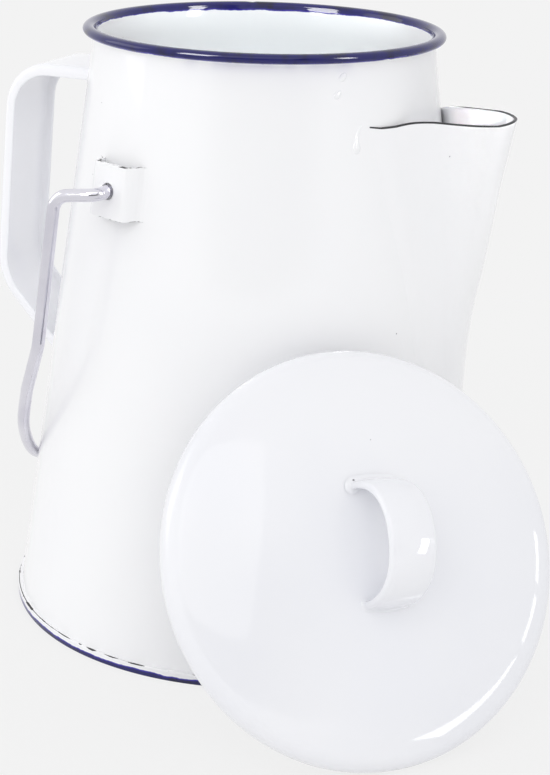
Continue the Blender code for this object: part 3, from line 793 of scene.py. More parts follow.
drips = []
for number, drip in enumerate(DRIPS):
    line = np.array(smooth_through(drip, 5))
    radii = np.array([wall_radius(z * MM) for z in line[:, 1]])
    bearings = np.radians(line[:, 0])
    spots = np.stack([radii * np.cos(bearings), radii * np.sin(bearings), line[:, 1] * MM], axis=1)
    rings = [drip_ring(spots[max(k - 1, 0)], spots[k], spots[min(k + 1, len(spots) - 1)],
                       max(line[k, 2], THINNEST_DRIP) * MM) for k in range(len(spots))]
    drips.append(place_piece(f"glass_drip_{number}", skin(rings), plain_enamel, "pot", None))

# %% [markdown]
# ## Welded straps
#
# The back handle and the lid's knob are the same thing in two sizes: a strap rolled to a channel
# and swept along a bent path. A curve with a bevel object sweeps a section too, but it can't end
# on a curved wall. First comes the section, with the direction that is outward at each point.

# %% Strap section
CHANNEL_STEPS = 8


def channel_section(width, flange, edge_radius, crown=0.0):
    """A strap's section as (across, depth) points, and the direction that is outward at each."""
    r = edge_radius
    s = SHEET
    half = width / 2.0
    tip = s / 2.0
    turn = math.pi / 2
    back = np.linspace(-half + r, half - r, 11)[1:-1]
    drop = [(a, -crown * (1.0 - (a / (half - r)) ** 2)) for a in back]
    outer = arc((-half + tip, flange - tip), tip, turn, math.pi, 4)
    outer += arc((-half + r, r), r, math.pi, 3 * turn, CHANNEL_STEPS) + drop
    outer += arc((half - r, r), r, 3 * turn, 4 * turn, CHANNEL_STEPS)
    outer += arc((half - tip, flange - tip), tip, 0, turn, 4)
    inner = arc((-half + tip, flange - tip), tip, turn, 0, 4)
    inner += arc((-half + r, r), r - s, math.pi, 3 * turn, CHANNEL_STEPS)
    inner += [(a, d + s) for a, d in drop]
    inner += arc((half - r, r), r - s, 3 * turn, 4 * turn, CHANNEL_STEPS)
    inner += arc((half - tip, flange - tip), tip, math.pi, turn, 4)
    points = outer + inner[::-1][1:-1]
    p = np.array(points) + np.array((0.0, crown))
    along = np.roll(p, -1, axis=0) - np.roll(p, 1, axis=0)
    along /= np.linalg.norm(along, axis=1)[:, None]
    return p, np.stack([along[:, 1], -along[:, 0]], axis=1)


# %% [markdown]
# The sweep then carries the section along the path. Where the strap meets the surface that
# carries it, the last rings flare outward along a quarter circle, which is how enamel runs into
# the corner of a weld. `hit_wall` finds the point of the wall that a ring has to reach.

# %% Strap sweep
FLARE_STEPS = 6


def sweep_strap(path, section, outward, flare, hit):
    """Sweep a section along (x, z) points between two surfaces and flare both of its ends.

    hit gives the point where a line from a start along a direction meets the carrying surface."""
    p = np.array(path, float)
    ahead = np.gradient(p, axis=0)
    ahead /= np.linalg.norm(ahead, axis=1)[:, None]
    inward = np.stack([ahead[:, 1], -ahead[:, 0]], axis=1)

    def spot(k, across, depth):
        flat = p[k] + inward[k] * depth
        return np.array((flat[0], across, flat[1]))

    def end_rings(k, way):
        rings = []
        for step in np.linspace(0.0, math.pi / 2, FLARE_STEPS + 1):
            ring = []
            for (across, depth), (out_across, out_depth) in zip(section, outward):
                spread = flare * (1.0 - math.cos(step))
                start = spot(k, across + out_across * spread, depth + out_depth * spread)
                ring.append(hit(start, way) - way * flare * (1.0 - math.sin(step)))
            rings.append(ring)
        return rings

    first_way = np.array((-ahead[0][0], 0.0, -ahead[0][1]))
    last_way = np.array((ahead[-1][0], 0.0, ahead[-1][1]))
    sections = end_rings(0, first_way)[::-1]
    for k in range(1, len(p) - 1):
        sections.append([spot(k, across, depth) for across, depth in section])
    return skin(sections + end_rings(len(p) - 1, last_way))


def hit_wall(start, way):
    """Where a line meets the cone of the wall, nearest to its start along its direction."""
    slope = (MOUTH_RADIUS - BASE_RADIUS) / POT_HEIGHT
    level = wall_radius(start[2])
    a = way[0] ** 2 + way[1] ** 2 - (slope * way[2]) ** 2
    b = start[0] * way[0] + start[1] * way[1] - level * slope * way[2]
    c = start[0] ** 2 + start[1] ** 2 - level ** 2
    root = math.sqrt(b * b - a * c)
    return start + way * ((-b - root) / a)


# %% [markdown]
# The back handle leaves the wall level under the rim, turns down, and comes back to the wall on a
# slant. Its path is three straight runs with two bends, like the real strap in its bending
# machine. It starts and ends behind the wall, and what is too close to the wall is left out.

# %% Back handle
HANDLE_WIDTH = 29.5 * MM
HANDLE_FLANGE = 4.0 * MM
HANDLE_EDGE_RADIUS = 2.4 * MM
HANDLE_TOP = 184.0 * MM
HANDLE_LOW_CORNER = 105.9 * MM
HANDLE_FOOT = 80.0 * MM
HANDLE_TOP_REACH = wall_radius(HANDLE_TOP) + 31.8 * MM
HANDLE_LOW_REACH = wall_radius(HANDLE_LOW_CORNER) + 27.2 * MM
HANDLE_FOOT_REACH = wall_radius(HANDLE_FOOT)
HANDLE_BENDS = [22.0 * MM, 17.0 * MM]
HANDLE_FLARE = 2.2 * MM
WELD_CLEARANCE = 5.0 * MM
BEHIND_WALL = 6.0 * MM
HANDLE_STEP = 2.0 * MM

slant = (HANDLE_LOW_CORNER - HANDLE_FOOT) / (HANDLE_LOW_REACH - HANDLE_FOOT_REACH)
handle_corners = [(BEHIND_WALL - HANDLE_FOOT_REACH, HANDLE_FOOT - slant * BEHIND_WALL),
                  (-HANDLE_LOW_REACH, HANDLE_LOW_CORNER), (-HANDLE_TOP_REACH, HANDLE_TOP),
                  (BEHIND_WALL - wall_radius(HANDLE_TOP), HANDLE_TOP)]
handle_line = densify(bend_corners(handle_corners, HANDLE_BENDS, 16), HANDLE_STEP)
handle_path = [point for point in handle_line
               if -point[0] > wall_radius(point[1]) + WELD_CLEARANCE]
handle_section, handle_outward = channel_section(HANDLE_WIDTH, HANDLE_FLANGE, HANDLE_EDGE_RADIUS)
handle_builder = sweep_strap(handle_path, handle_section, handle_outward, HANDLE_FLARE, hit_wall)
place_piece("strap_handle", handle_builder, handle_shaded_enamel, "pot", "back_handle")

# %% [markdown]
# ## The ears
#
# Each ear is a short strap folded to a bridge and welded to the wall by its two legs. A box with
# bevels would show the bridge, but not how its legs run into the wall. So a drawn outline starts
# flat on the wall, rises in a fillet, and turns over the face.

# %% Ear outline
EAR_ANGLE = math.radians(67.0)
PIVOT_HEIGHT = 155.0 * MM
EAR_HEIGHT = 17.0 * MM
EAR_FACE_HALF_WIDTH = 8.2 * MM
EAR_ROOT_HALF_WIDTH = 10.2 * MM
EAR_DEPTH = 4.8 * MM
EAR_BEND = 2.2 * MM
EAR_FILLET = 1.6 * MM
EAR_HOLE_RADIUS = 2.7 * MM
DRILL_LENGTH = 12.0 * MM
EAR_POINTS = 40
EAR_LEVEL_SHARES = (0.0, 0.03, 0.25, 0.5, 0.75, 0.97, 1.0)


def ear_outline():
    """The folded strap, as (across, out from the wall) points, outside and then inside."""
    toe = EAR_ROOT_HALF_WIDTH + EAR_FILLET
    lap = -0.6 * MM
    corners = [(-toe - EAR_FILLET, lap), (-toe, 0.0), (-EAR_ROOT_HALF_WIDTH + 0.4 * MM, 0.3 * MM),
               (-EAR_FACE_HALF_WIDTH, EAR_DEPTH), (EAR_FACE_HALF_WIDTH, EAR_DEPTH),
               (EAR_ROOT_HALF_WIDTH - 0.4 * MM, 0.3 * MM), (toe, 0.0), (toe + EAR_FILLET, lap)]
    bends = [EAR_FILLET, EAR_FILLET, EAR_BEND, EAR_BEND, EAR_FILLET, EAR_FILLET]
    low = EAR_ROOT_HALF_WIDTH - SHEET
    face = EAR_FACE_HALF_WIDTH - SHEET
    inner = bend_corners([(-low, lap), (-face, EAR_DEPTH - SHEET), (face, EAR_DEPTH - SHEET),
                          (low, lap)], [EAR_BEND - SHEET] * 2, 6)
    return bend_corners(corners, bends, 6), inner


print("ear reaches", EAR_DEPTH / MM, "mm from the wall")

# %% [markdown]
# The outline is laid round the wall at several heights and skinned. The bail's hole is drilled
# along the bail's own axis, so the wire runs square through both ears. The cut edges above and
# below are chipped, because each swing of the bail and each sink has knocked them.

# %% Ears


def resample(points, count):
    """The same line with a set number of evenly spaced points."""
    p = np.array(points, float)
    run = np.concatenate([[0.0], np.cumsum(np.linalg.norm(np.diff(p, axis=0), axis=1))])
    where = np.linspace(0.0, run[-1], count)
    return np.stack([np.interp(where, run, p[:, k]) for k in range(p.shape[1])], axis=1)


def curve_round(across, out_from_wall, height):
    """Lay a flat outline round the wall: its ends follow the cone, its face stays flat."""
    radius = wall_radius(height)
    drop = radius - math.sqrt(radius ** 2 - across ** 2)
    stay = min(1.0, max(0.0, out_from_wall / EAR_DEPTH))
    return radius + out_from_wall - drop * (1.0 - stay)


def make_ear(name, side, node):
    """One ear; side is +1 for +Y and -1 for -Y."""
    out = np.array((-math.cos(EAR_ANGLE), side * math.sin(EAR_ANGLE)))
    across_way = np.array((-out[1], out[0]))
    outer, inner = [resample(line, EAR_POINTS) for line in ear_outline()]
    sections = []
    for share in EAR_LEVEL_SHARES:
        height = PIVOT_HEIGHT + (share - 0.5) * EAR_HEIGHT
        ring = []
        for across, rise in list(outer) + list(inner[::-1]):
            spot = out * curve_round(across, rise, height) + across_way * across
            ring.append((*spot, height))
        sections.append(ring)
    return place_piece(name, skin(sections), ear_enamel, "pot", node)


def drill(target, centre, radius, depth):
    """Drill a round hole along Y."""
    builder = bmesh.new()
    stand = Matrix.Translation(centre) @ Matrix.Rotation(math.pi / 2, 4, "X")
    bmesh.ops.create_cone(builder, cap_ends=True, segments=40, radius1=radius, radius2=radius,
                          depth=depth, matrix=stand)
    cut_away(target, builder)


def from_ear_edge(place):
    """Distance of a point from the ear's cut upper or lower edge."""
    return EAR_HEIGHT / 2.0 - abs(place[2] - PIVOT_HEIGHT)


pivot_reach = wall_radius(PIVOT_HEIGHT) + EAR_DEPTH
PIVOT_X = -pivot_reach * math.cos(EAR_ANGLE)
PIVOT_Y = pivot_reach * math.sin(EAR_ANGLE)
ear_enamel = make_enamel("white_enamel_chipped_ear", chip_width=0.17 * MM, chip_share=0.5,
                         chip_scale=260.0)
ears = []
for ear_name, side, ear_node in (("ear_left", 1, "bail_ear_left"),
                                 ("ear_right", -1, "bail_ear_right")):
    ear = make_ear(ear_name, side, ear_node)
    ears.append(ear)
    drill(ear, (PIVOT_X, side * PIVOT_Y, PIVOT_HEIGHT), EAR_HOLE_RADIUS, DRILL_LENGTH)
    paint(ear, "from_edge", from_ear_edge)

# %% [markdown]
# ## The bail
#
# The bail is one plated wire with the maker's own bends: a pin in each ear, a crank, a straight
# leg, and an arch that comes to rest on the pot's back. The slope of the arch isn't guessed. It
# is worked out from the cone, so that the wire just touches the wall.

# %% Bail path
WIRE_RADIUS = 2.1 * MM
BAIL_CLEARANCE = 4.0 * MM
PIN_INSIDE = 1.4 * MM
BAIL_CRANK = 15.6 * MM
BAIL_CRANK_DROP = 2.0 * MM
BAIL_LEG = 51.5 * MM
BAIL_LEG_SLOPE = math.radians(7.5)
BAIL_ARCH = 71.5 * MM
BAIL_BENDS = [3.4 * MM, 6.0 * MM, 9.0 * MM]
BAIL_ARCH_SHARES = [(0.3, 0.87), (0.572, 0.69), (0.82, 0.43), (0.955, 0.21), (1.0, 0.0)]


def arch_slope(knee_reach, knee_height):
    """Slope at which the arch, hanging from the bail's knees, seats on the back of the wall."""
    seat = (WIRE_RADIUS + SEATING_GAP) / math.cos(TAPER)
    short = wall_radius(knee_height) + seat - knee_reach
    return TAPER + math.asin(short * math.cos(TAPER) / BAIL_ARCH)


def bail_path():
    """The wire's middle line from one pin to the other, in the frame's own place."""
    half = PIVOT_Y + BAIL_CLEARANCE + WIRE_RADIUS
    pin_end = PIVOT_Y - SHEET - PIN_INSIDE
    crank = np.array((-BAIL_CRANK, -BAIL_CRANK_DROP))
    leg_way = np.array((-math.sin(BAIL_LEG_SLOPE), -math.cos(BAIL_LEG_SLOPE)))
    knee = crank + leg_way * BAIL_LEG
    slope = arch_slope(-PIVOT_X - knee[0], PIVOT_HEIGHT + knee[1])
    arch_way = np.array((-math.sin(slope), -math.cos(slope)))
    arch = []
    for along, across in BAIL_ARCH_SHARES:
        x, z = knee + arch_way * along * BAIL_ARCH
        arch.append((x, across * half, z))
    arch += [(x, -y, z) for x, y, z in reversed(arch[:-1])]
    side = [(0, pin_end, 0), (0, half, 0), (crank[0], half, crank[1]), (knee[0], half, knee[1])]
    first = bend_corners(side + arch[:1], BAIL_BENDS, 12)
    last = [point * np.array((1, -1, 1)) for point in reversed(first)]
    line = first[:-1] + smooth_through(arch, 10) + last[1:]
    return [point + np.array((PIVOT_X, 0, PIVOT_HEIGHT)) for point in line]


print("bail's middle line has", len(bail_path()), "points")

# %% [markdown]
# The wire is drawn, bent and then plated, so its plating is bright with faint draw lines and a few
# dull spots. A perfect mirror would look like a computer's wire: noise in the roughness, in the
# colour and in a very small bump breaks the reflections up.

# %% Plating
BRIGHT_PLATING = (0.74, 0.73, 0.79)
DULL_PLATING = (0.66, 0.65, 0.72)


def make_plating():
    """Bright plating over drawn wire."""
    material, tree, shader, place = new_material("plated_wire")
    shader.inputs["Metallic"].default_value = 1.0
    cloud = ramp_between(tree, noise_node(tree, place, 60.0, 3.0), 0.35, 0.7)
    colour = mix_colours(tree, cloud, BRIGHT_PLATING, DULL_PLATING)
    link(tree, colour, shader.inputs["Base Color"])
    dull = ramp_between(tree, noise_node(tree, place, 240.0, 4.0, 0.6), 0.35, 0.8)
    roughness = math_node(tree, "MULTIPLY_ADD", dull, 0.10, 0.09)
    link(tree, roughness, shader.inputs["Roughness"])
    normal = bump(tree, noise_node(tree, place, 500.0, 2.0), 0.25, 0.03 * MM)
    link(tree, normal, shader.inputs["Normal"])
    return material


plating = make_plating()
print("plating:", plating.name)

# %% [markdown]
# A curve object with a round bevel would give the wire in one step. A tube built section by
# section is a mesh from the start, keeps its section from twisting in the bends, and can have
# slightly rounded ends.

# %% Bail
WIRE_SIDES = 32
WIRE_STEP = 3.0 * MM
END_ROUNDING = 0.2


def tube(path, radius, sides):
    """A mesh tube along a path, its section carried without twist and its ends a little rounded."""
    p = np.array(path, float)
    ahead = np.gradient(p, axis=0)
    ahead /= np.linalg.norm(ahead, axis=1)[:, None]
    side_way = np.cross(ahead[0], (0.0, 0.0, 1.0))
    turn = np.linspace(0.0, 2.0 * math.pi, sides, endpoint=False)
    sections = []
    for k in range(len(p)):
        side_way = side_way - ahead[k] * (side_way @ ahead[k])
        side_way /= np.linalg.norm(side_way)
        up_way = np.cross(ahead[k], side_way)
        sections.append([p[k] + radius * (math.cos(a) * side_way + math.sin(a) * up_way)
                         for a in turn])
    ends = []
    for k, way in ((0, -1), (len(p) - 1, 1)):
        ends.append([p[k] + (q - p[k]) * (1.0 - END_ROUNDING) for q in sections[k]])
        sections[k] = [q - ahead[k] * way * END_ROUNDING * radius for q in sections[k]]
    return skin([ends[0]] + sections + [ends[1]])


bail_tube = tube(densify(bail_path(), WIRE_STEP), WIRE_RADIUS, WIRE_SIDES)
bail = place_piece("wire_bail", bail_tube, plating, "bail", "bail")

# %% [markdown]
# ## The lid
#
# The lid is turned in its own frame, with its axis on Z, and then laid against the pot by one
# matrix. The frame's joint says which way its top looks, and the imported shell says where its
# middle is.

# %% Lid sizes and place
LID_RADIUS = 64.2 * MM
LID_EDGE = 2.0 * MM
LID_SHOULDER = 7.0 * MM
LID_CROWN = 16.5 * MM
LID_EASING = 50.0 * MM
LID_EASING_END = math.radians(24.0)
COLLAR_RADIUS = MOUTH_RADIUS - SHEET - 0.6 * MM
COLLAR_DEPTH = 15.0 * MM
COLLAR_LEAD = 2.0 * MM
COLLAR_LEAD_IN = 0.8 * MM

lid_joint = next(joint for joint in frame["joints"] if joint["name"] == "lid_lift")
lid_out = Vector(lid_joint["axis"]).normalized()
lid_right = Vector((0, 0, 1)).cross(lid_out).normalized()
lid_up = lid_out.cross(lid_right)
lid_turn = Matrix((lid_right, lid_up, lid_out)).transposed().to_4x4()


def lid_place():
    """The lid's middle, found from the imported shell: the middle of its reach in each direction."""
    shell = frame["nodes"]["lid_shell"]
    spots = np.array([vertex.co for vertex in shell.data.vertices])
    right = spots @ np.array(lid_right)
    up = spots @ np.array(lid_up)
    out = spots @ np.array(lid_out)
    return (lid_right * (right.min() + right.max()) / 2 + lid_up * (up.min() + up.max()) / 2
            + lid_out * (out.max() - LID_CROWN))


lid_middle = lid_place()
lid_matrix = Matrix.Translation(lid_middle) @ lid_turn
print("lid middle in mm:", [round(c / MM, 2) for c in lid_middle])


def lid_easing():
    """Middle of the easing arc between the dome and the shoulder, as (radius, height)."""
    away = LID_EASING - LID_SHOULDER
    return (LID_RADIUS - LID_SHOULDER - away * math.sin(LID_EASING_END),
            -away * math.cos(LID_EASING_END))


def lid_dome():
    """Radius of the dome's sphere and the angle at which it meets the easing arc."""
    inset, height = lid_easing()
    drop = height - LID_CROWN
    sphere = (LID_EASING ** 2 - inset ** 2 - drop ** 2) / (2.0 * (drop + LID_EASING))
    return sphere, math.asin(inset / (sphere - LID_EASING))


def dome_height(radius, thickness=0.0):
    """Height of the dome at a radius, measured under a thickness of sheet."""
    sphere, _ = lid_dome()
    return LID_CROWN - sphere + math.sqrt((sphere - thickness) ** 2 - radius ** 2)


# %% [markdown]
# The dome is one arc of a large circle. It could meet the small shoulder arc directly, but then
# every reflection breaks off where they meet. An easing arc between them, as a press leaves it,
# lets the long bright lines at the lid's edge run on. A short turned-down edge ends the lid, and a
# round nose closes the sheet, because dipped glass never leaves a sharp edge.

# %% Lid shell
LID_STEPS = 14
EASING_STEPS = 8


def lid_outline(thickness, steps):
    """The lid's outside, or its inside under a thickness, from its edge to its middle."""
    sphere, meet = lid_dome()
    shoulder = (LID_RADIUS - LID_SHOULDER, 0)
    up = math.pi / 2.0
    points = arc(shoulder, LID_SHOULDER - thickness, 0, up - LID_EASING_END, steps)
    points += arc(lid_easing(), LID_EASING - thickness, up - LID_EASING_END, up - meet,
                  EASING_STEPS)[1:]
    dome = arc((0, LID_CROWN - sphere), sphere - thickness, up - meet, up, 2 * steps)
    return points + dome[1:-1] + [(0, LID_CROWN - thickness)]


nose = arc((LID_RADIUS - SHEET / 2, -LID_EDGE + SHEET / 2), SHEET / 2, 0, -math.pi, 8)
lid_profile = nose[::-1] + lid_outline(0.0, LID_STEPS) + lid_outline(SHEET, LID_STEPS)[::-1]
lid_shell = place_piece("lid_dome", revolve(lid_profile, RIM_SEGMENTS), lid_shaded_enamel, "lid",
                        "lid_shell", lid_matrix)

# %% [markdown]
# Under the dome a plain ring drops into the pot's mouth. Its upper edge is fused to the dome with
# a fillet, and its lower edge is drawn in a little so that it finds the mouth. It is turned like
# the dome, but from an outline of its own, because it is a piece of its own.

# %% Lid collar
COLLAR_FILLET = 2.0 * MM
COLLAR_BEND = 2.0 * MM
COLLAR_LAP = 0.1 * MM


def collar_outline():
    """The collar's ring, its foot rounded and its top let into the dome."""
    outside = COLLAR_RADIUS
    inside = outside - SHEET
    lead = COLLAR_LEAD_IN
    fillet = COLLAR_FILLET
    top_out = dome_height(outside + fillet, SHEET) + COLLAR_LAP
    top_in = dome_height(inside - fillet, SHEET) + COLLAR_LAP
    bend = -COLLAR_DEPTH + COLLAR_LEAD
    low = -COLLAR_DEPTH + 0.4 * SHEET
    outer = bend_corners([(outside + fillet, top_out), (outside, top_out), (outside, bend),
                          (outside - lead, low)], [fillet, COLLAR_BEND], 6)
    nose_middle = (outside - lead - SHEET / 2, -COLLAR_DEPTH + 0.5 * SHEET)
    foot_round = arc(nose_middle, SHEET / 2, 0, -math.pi, 8)
    inner = bend_corners([(inside - lead, low), (inside, bend), (inside, top_in),
                          (inside - fillet, top_in)], [COLLAR_BEND, fillet], 6)
    return outer[:-1] + foot_round + inner[1:]


place_piece("lid_ring", revolve([tuple(p) for p in collar_outline()], RIM_SEGMENTS),
            lid_shaded_enamel, "lid", "lid_collar", lid_matrix)

# %% [markdown]
# The knob is the handle's little sister: the same swept channel, on a half oval path, standing on
# the dome. Only the surface that its ends are carried to is another. It was welded on by hand, so
# it stands a little turned and off the middle. A tiny chip at one of its feet is a plain distance
# from one point, read by the same shader as the other chips.

# %% Lid knob
KNOB_SPAN = 38.8 * MM
KNOB_HEIGHT = 23.5 * MM
KNOB_FULLNESS = 2.2
KNOB_CROWN = 0.48 * MM
KNOB_WIDTH = 14.8 * MM
KNOB_FLANGE = 2.2 * MM
KNOB_EDGE_RADIUS = 1.5 * MM
KNOB_TURN = math.radians(-4.4)
KNOB_PLACE = Vector((-0.9 * MM, 2.5 * MM, 0.0))
KNOB_FLARE = 1.6 * MM
KNOB_CHIP = 0.6 * MM
KNOB_CHIP_PLACE = Vector((-5.4 * MM, 22.2 * MM, 15.6 * MM))
KNOB_STEPS = 80


def hit_dome(start, way):
    """Where a line meets the lid's dome, from above."""
    sphere, _ = lid_dome()
    centre = np.array((0.0, 0.0, LID_CROWN - sphere))
    away = start - centre
    b = away @ way
    c = away @ away - sphere ** 2
    return start + way * (-b - math.sqrt(max(b * b - c, 0.0)))


knob_spring = dome_height(KNOB_SPAN / 2)
knob_rise = LID_CROWN + KNOB_HEIGHT - knob_spring
knob_path = []
for a in np.linspace(math.radians(6), math.radians(174), KNOB_STEPS):
    full = abs(math.cos(a)) ** (2 / KNOB_FULLNESS)
    knob_path.append((-math.copysign(full, math.cos(a)) * KNOB_SPAN / 2,
                      knob_spring + knob_rise * math.sin(a) ** (2 / KNOB_FULLNESS)))
knob_section, knob_outward = channel_section(KNOB_WIDTH, KNOB_FLANGE, KNOB_EDGE_RADIUS, KNOB_CROWN)
knob_builder = sweep_strap(knob_path, knob_section, knob_outward, KNOB_FLARE, hit_dome)
knob_turn = Matrix.Rotation(math.pi / 2 + KNOB_TURN, 4, "Z")
knob_matrix = lid_matrix @ Matrix.Translation(KNOB_PLACE) @ knob_turn
# The knob takes the lid's darker, bluer white, which is painted shade.
knob_enamel = make_enamel("white_enamel_knob", LID_SHADED_WHITE, LID_SHADED_COOL, chip_width=KNOB_CHIP,
                          chip_share=2.0)
lid_knob = place_piece("lid_grip", knob_builder, knob_enamel, "lid", "lid_knob", knob_matrix)
knob_foot = np.array(lid_matrix @ KNOB_CHIP_PLACE)
paint(lid_knob, "from_edge", lambda place: float(np.linalg.norm(place - knob_foot)))

# %% [markdown]
# ## The floor
#
# A white ground in a studio is lit until it has no tone of its own. More light would do that here
# too, but it would bleach the kettle. So the camera and every glossy ray see the floor almost at
# one even tone, and a small share of the true floor is left in near the kettle, which keeps its
# shadow.

# %% Floor
FLOOR_TONE = 0.896
FLOOR_HALF_SIZE = 6.0
SHADOW_SHARE = 0.10
SHADOW_NEAR = 0.14
SHADOW_FAR = 0.40


def floor_material():
    """A pale floor whose soft shadow fades to an even tone away from the kettle."""
    material, tree, shader, place = new_material("pale_floor")
    shader.inputs["Base Color"].default_value = (FLOOR_TONE, FLOOR_TONE, FLOOR_TONE, 1.0)
    shader.inputs["Roughness"].default_value = 0.9
    shader.inputs["Specular IOR Level"].default_value = 0.0
    glow = tree.nodes.new("ShaderNodeEmission")
    glow.inputs["Color"].default_value = (FLOOR_TONE, FLOOR_TONE, FLOOR_TONE, 1.0)
    distance = tree.nodes.new("ShaderNodeVectorMath")
    distance.operation = "LENGTH"
    link(tree, place, distance.inputs[0])
    far = ramp_between(tree, distance.outputs["Value"], SHADOW_NEAR, SHADOW_FAR)
    even = math_node(tree, "MULTIPLY_ADD", far, SHADOW_SHARE, 1.0 - SHADOW_SHARE)
    path = tree.nodes.new("ShaderNodeLightPath")
    seen = math_node(tree, "MAXIMUM", path.outputs["Is Camera Ray"], path.outputs["Is Glossy Ray"])
    mix = tree.nodes.new("ShaderNodeMixShader")
    link(tree, math_node(tree, "MULTIPLY", even, seen), mix.inputs["Fac"])
    link(tree, shader.outputs["BSDF"], mix.inputs[1])
    link(tree, glow.outputs["Emission"], mix.inputs[2])
    link(tree, mix.outputs["Shader"], tree.nodes["Material Output"].inputs["Surface"])
    return material


floor_builder = bmesh.new()
bmesh.ops.create_grid(floor_builder, x_segments=1, y_segments=1, size=FLOOR_HALF_SIZE)
floor = new_object("floor", floor_builder)
floor.data.materials.append(floor_material())
print("floor tone:", FLOOR_TONE)

# %% [markdown]
# ## The surround
#
# White enamel on white lives on small differences, so most of the light comes from a plain white
# world all round. One world does three jobs, and Light Path tells it which kind of ray asks. The
# camera sees the backdrop's pale tone. Diffuse light gets an even white. The gloss sees a white
# room whose side behind the camera stands open and dark, or else a pale veil would lie over the
# cobalt and the wire.

# %% World
WORLD_LEVEL = 0.86
OPEN_SIDE = (0.39, -0.90, 0.18)
OPEN_LEVEL = 0.14
OPEN_FROM = 0.70
OPEN_FULLY = 0.97


def make_world():
    """An even white surround, darker in the gloss towards the studio's open side."""
    world = bpy.data.worlds.new("studio")
    bpy.context.scene.world = world
    world.use_nodes = True
    tree = world.node_tree
    light = tree.nodes["Background"]
    light.inputs["Color"].default_value = (1.0, 1.0, 1.0, 1.0)
    light.inputs["Strength"].default_value = WORLD_LEVEL
    coordinates = tree.nodes.new("ShaderNodeTexCoord")
    facing = tree.nodes.new("ShaderNodeVectorMath")
    facing.operation = "DOT_PRODUCT"
    facing.inputs[1].default_value = OPEN_SIDE
    link(tree, coordinates.outputs["Generated"], facing.inputs[0])
    dark = ramp_between(tree, facing.outputs["Value"], OPEN_FROM, OPEN_FULLY)
    room = mix_colours(tree, dark, (1.0, 1.0, 1.0), (OPEN_LEVEL,) * 3)
    surround = tree.nodes.new("ShaderNodeBackground")
    link(tree, room, surround.inputs["Color"])
    backdrop = tree.nodes.new("ShaderNodeBackground")
    backdrop.inputs["Color"].default_value = (FLOOR_TONE, FLOOR_TONE, FLOOR_TONE, 1.0)
    path = tree.nodes.new("ShaderNodeLightPath")
    gloss = tree.nodes.new("ShaderNodeMixShader")
    link(tree, path.outputs["Is Glossy Ray"], gloss.inputs["Fac"])
    link(tree, light.outputs["Background"], gloss.inputs[1])
    link(tree, surround.outputs["Background"], gloss.inputs[2])
    seen = tree.nodes.new("ShaderNodeMixShader")
    link(tree, path.outputs["Is Camera Ray"], seen.inputs["Fac"])
    link(tree, gloss.outputs["Shader"], seen.inputs[1])
    link(tree, backdrop.outputs["Background"], seen.inputs[2])
    link(tree, seen.outputs["Shader"], tree.nodes["World Output"].inputs["Surface"])


make_world()
print("world level:", WORLD_LEVEL)

# %% [markdown]
# ## Lamps
#
# A wide soft lamp high in front and one far round on the left give the wall its slow change of
# tone. Sun lamps would be simpler, but their light has no near and far. The helper takes a
# lamp's radiance, which is how white its face looks, so a lamp can grow without glaring.
#
# A deep white vessel throws light back and forth many times, and a renderer follows only a few of
# these bounces, so its inside comes out too grey. Two weak, narrow lamps stand for the missing
# bounces: one reaches into the mouth, the other into the spout.

# %% Lamps
LAMP_DISTANCE = 1.5
POT_MIDDLE = Vector((0, 0, 0.1))
MOUTH_WALL = Vector((-0.022, 0.052, 0.184))
MOUTH_FILL_POWER = 0.0034
MOUTH_FILL_COLOUR = (0.86, 1.0, 1.0)
SPOUT_INSIDE = Vector((0.085, 0.008, 0.186))
SPOUT_FILL_POWER = 0.0075
FILL_DISTANCE = 0.35
FILL_SPREAD = math.radians(5.0)


def softbox(name, bearing, height_angle, width, height, radiance, gloss_only=False,
            aim_at=POT_MIDDLE, distance=LAMP_DISTANCE, roll=0.0):
    """A rectangular lamp that faces a point; radiance is how white its face looks."""
    data = bpy.data.lights.new(name, "AREA")
    data.shape = "RECTANGLE"
    data.size = width
    data.size_y = height
    data.energy = radiance * math.pi * width * height
    lamp = bpy.data.objects.new(name, data)
    b = math.radians(bearing)
    e = math.radians(height_angle)
    way = Vector((math.cos(b) * math.cos(e), math.sin(b) * math.cos(e), math.sin(e)))
    lamp.location = aim_at + way * distance
    lamp.rotation_mode = "QUATERNION"
    upright = way.to_track_quat("Z", "Y")
    lamp.rotation_quaternion = upright @ Quaternion((0, 0, 1), math.radians(roll))
    lamp.visible_diffuse = not gloss_only
    lamp.visible_camera = False
    bpy.context.scene.collection.objects.link(lamp)
    return lamp


def fill(name, bearing, height_angle, width, height, aim_at, power):
    """A weak and narrow lamp that reaches into a hollow and isn't seen in the gloss."""
    lamp = softbox(name, bearing, height_angle, width, height, 1.0, aim_at=aim_at,
                   distance=FILL_DISTANCE)
    lamp.data.spread = FILL_SPREAD
    lamp.data.energy = power
    lamp.visible_glossy = False
    return lamp


def show_only_on(lamps, pieces):
    """Light linking: these pieces alone see the lamps."""
    group = bpy.data.collections.new("sees_" + lamps[0].name)
    for piece in pieces:
        group.objects.link(piece)
    for lamp in lamps:
        lamp.light_linking.receiver_collection = group


softbox("front_high", -72.0, 38.0, 1.2, 1.2, 0.81)
softbox("wide_left", -165.0, 20.0, 0.9, 0.9, 1.1)
mouth_fill = fill("mouth_fill", -70.0, 32.0, 0.10, 0.03, MOUTH_WALL, MOUTH_FILL_POWER)
mouth_fill.data.color = MOUTH_FILL_COLOUR
spout_fill = fill("spout_fill", -60.0, 70.0, 0.03, 0.03, SPOUT_INSIDE, SPOUT_FILL_POWER)
show_only_on([spout_fill], [spout_piece])
print("wide lamps and fills:", sorted(found.name for found in bpy.data.lights))

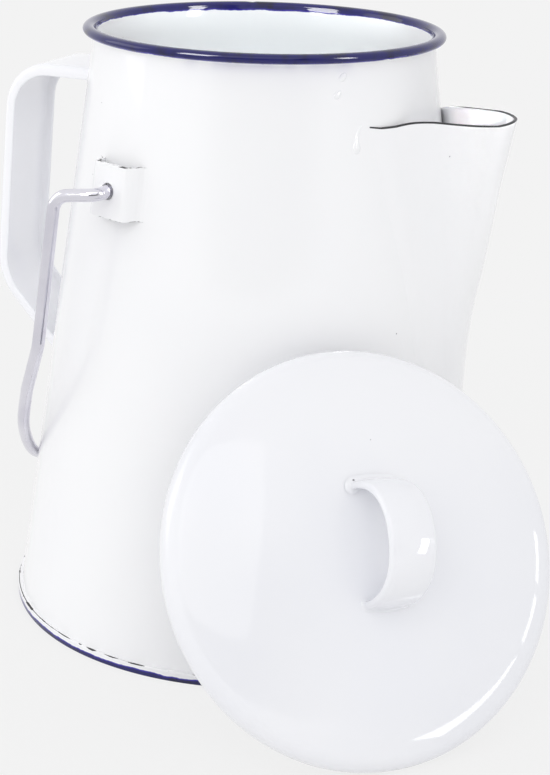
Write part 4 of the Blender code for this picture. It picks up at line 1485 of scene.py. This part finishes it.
# %% [markdown]
# ## What the gloss mirrors
#
# Glossy glass and wire look like nothing until there is something to mirror. Two tall windows
# stand on the wall, the bead, the ears and the bail, and a third one gives the knob its bright
# patch. Narrow strips draw the long lines round the lid's edge. Bright cards of mesh would be
# mirrored as well, but they would also light the kettle. These lamps are seen by glossy rays alone,
# and light linking keeps each of them to the pieces that show its reflection.

# %% Windows and strips
WINDOW_RADIANCE = 15.0
STRIP_RADIANCE = 5.0
RISE_WIDTH = 0.022
KNOB_FACE = Vector((0.0974, -0.1074, 0.0764))
LID_SIDE = Vector((0.118, -0.060, 0.040))


def window(name, bearing, height_angle, width, height, **more):
    """A bright window that only the gloss sees."""
    return softbox(name, bearing, height_angle, width, height, WINDOW_RADIANCE, gloss_only=True,
                   **more)


def strip(name, start, end, width, towards):
    """A narrow lamp for the gloss alone, from a point to another, turned towards a third."""
    start, end, towards = Vector(start), Vector(end), Vector(towards)
    lamp = softbox(name, 0.0, 0.0, (end - start).length, width, STRIP_RADIANCE, gloss_only=True)
    along = (end - start).normalized()
    back = (start + end) / 2 - towards
    back = (back - along * back.dot(along)).normalized()
    lamp.location = (start + end) / 2
    lamp.rotation_quaternion = Matrix((along, back.cross(along), back)).transposed().to_quaternion()
    return lamp


windows = [window("right_window", -10.5, 26.0, 0.28, 0.75, aim_at=KNOB_FACE),
           window("left_window", -112.0, 33.0, 0.52, 0.75)]
show_only_on(windows, [wall, bail] + ears + drips)
knob_window = window("knob_window", -8.5, 9.0, 0.21, 0.61, aim_at=KNOB_FACE, roll=-26.0)
show_only_on([knob_window], [lid_knob])
strips = [softbox("left_strip", -161.0, 21.0, 0.08, 0.63, 6.0, gloss_only=True),
          strip("floor_strip", (0.138, -0.111, 0.003), (0.440, -0.001, 0.003), 0.018,
                (0.289, -0.056, 1.0)),
          strip("low_rise", (0.553, 0.052, 0.012), (0.534, 0.115, 0.063), RISE_WIDTH, LID_SIDE),
          strip("high_rise", (0.527, 0.128, 0.082), (0.506, 0.178, 0.146), RISE_WIDTH, LID_SIDE)]
show_only_on(strips, [lid_shell])

# %% [markdown]
# ## Finish
#
# The view transform is Standard, so a colour shows as it is written. A filmic one would grey the
# whites that this kettle is about.

# %% Finish
bpy.context.scene.view_settings.view_transform = "Standard"
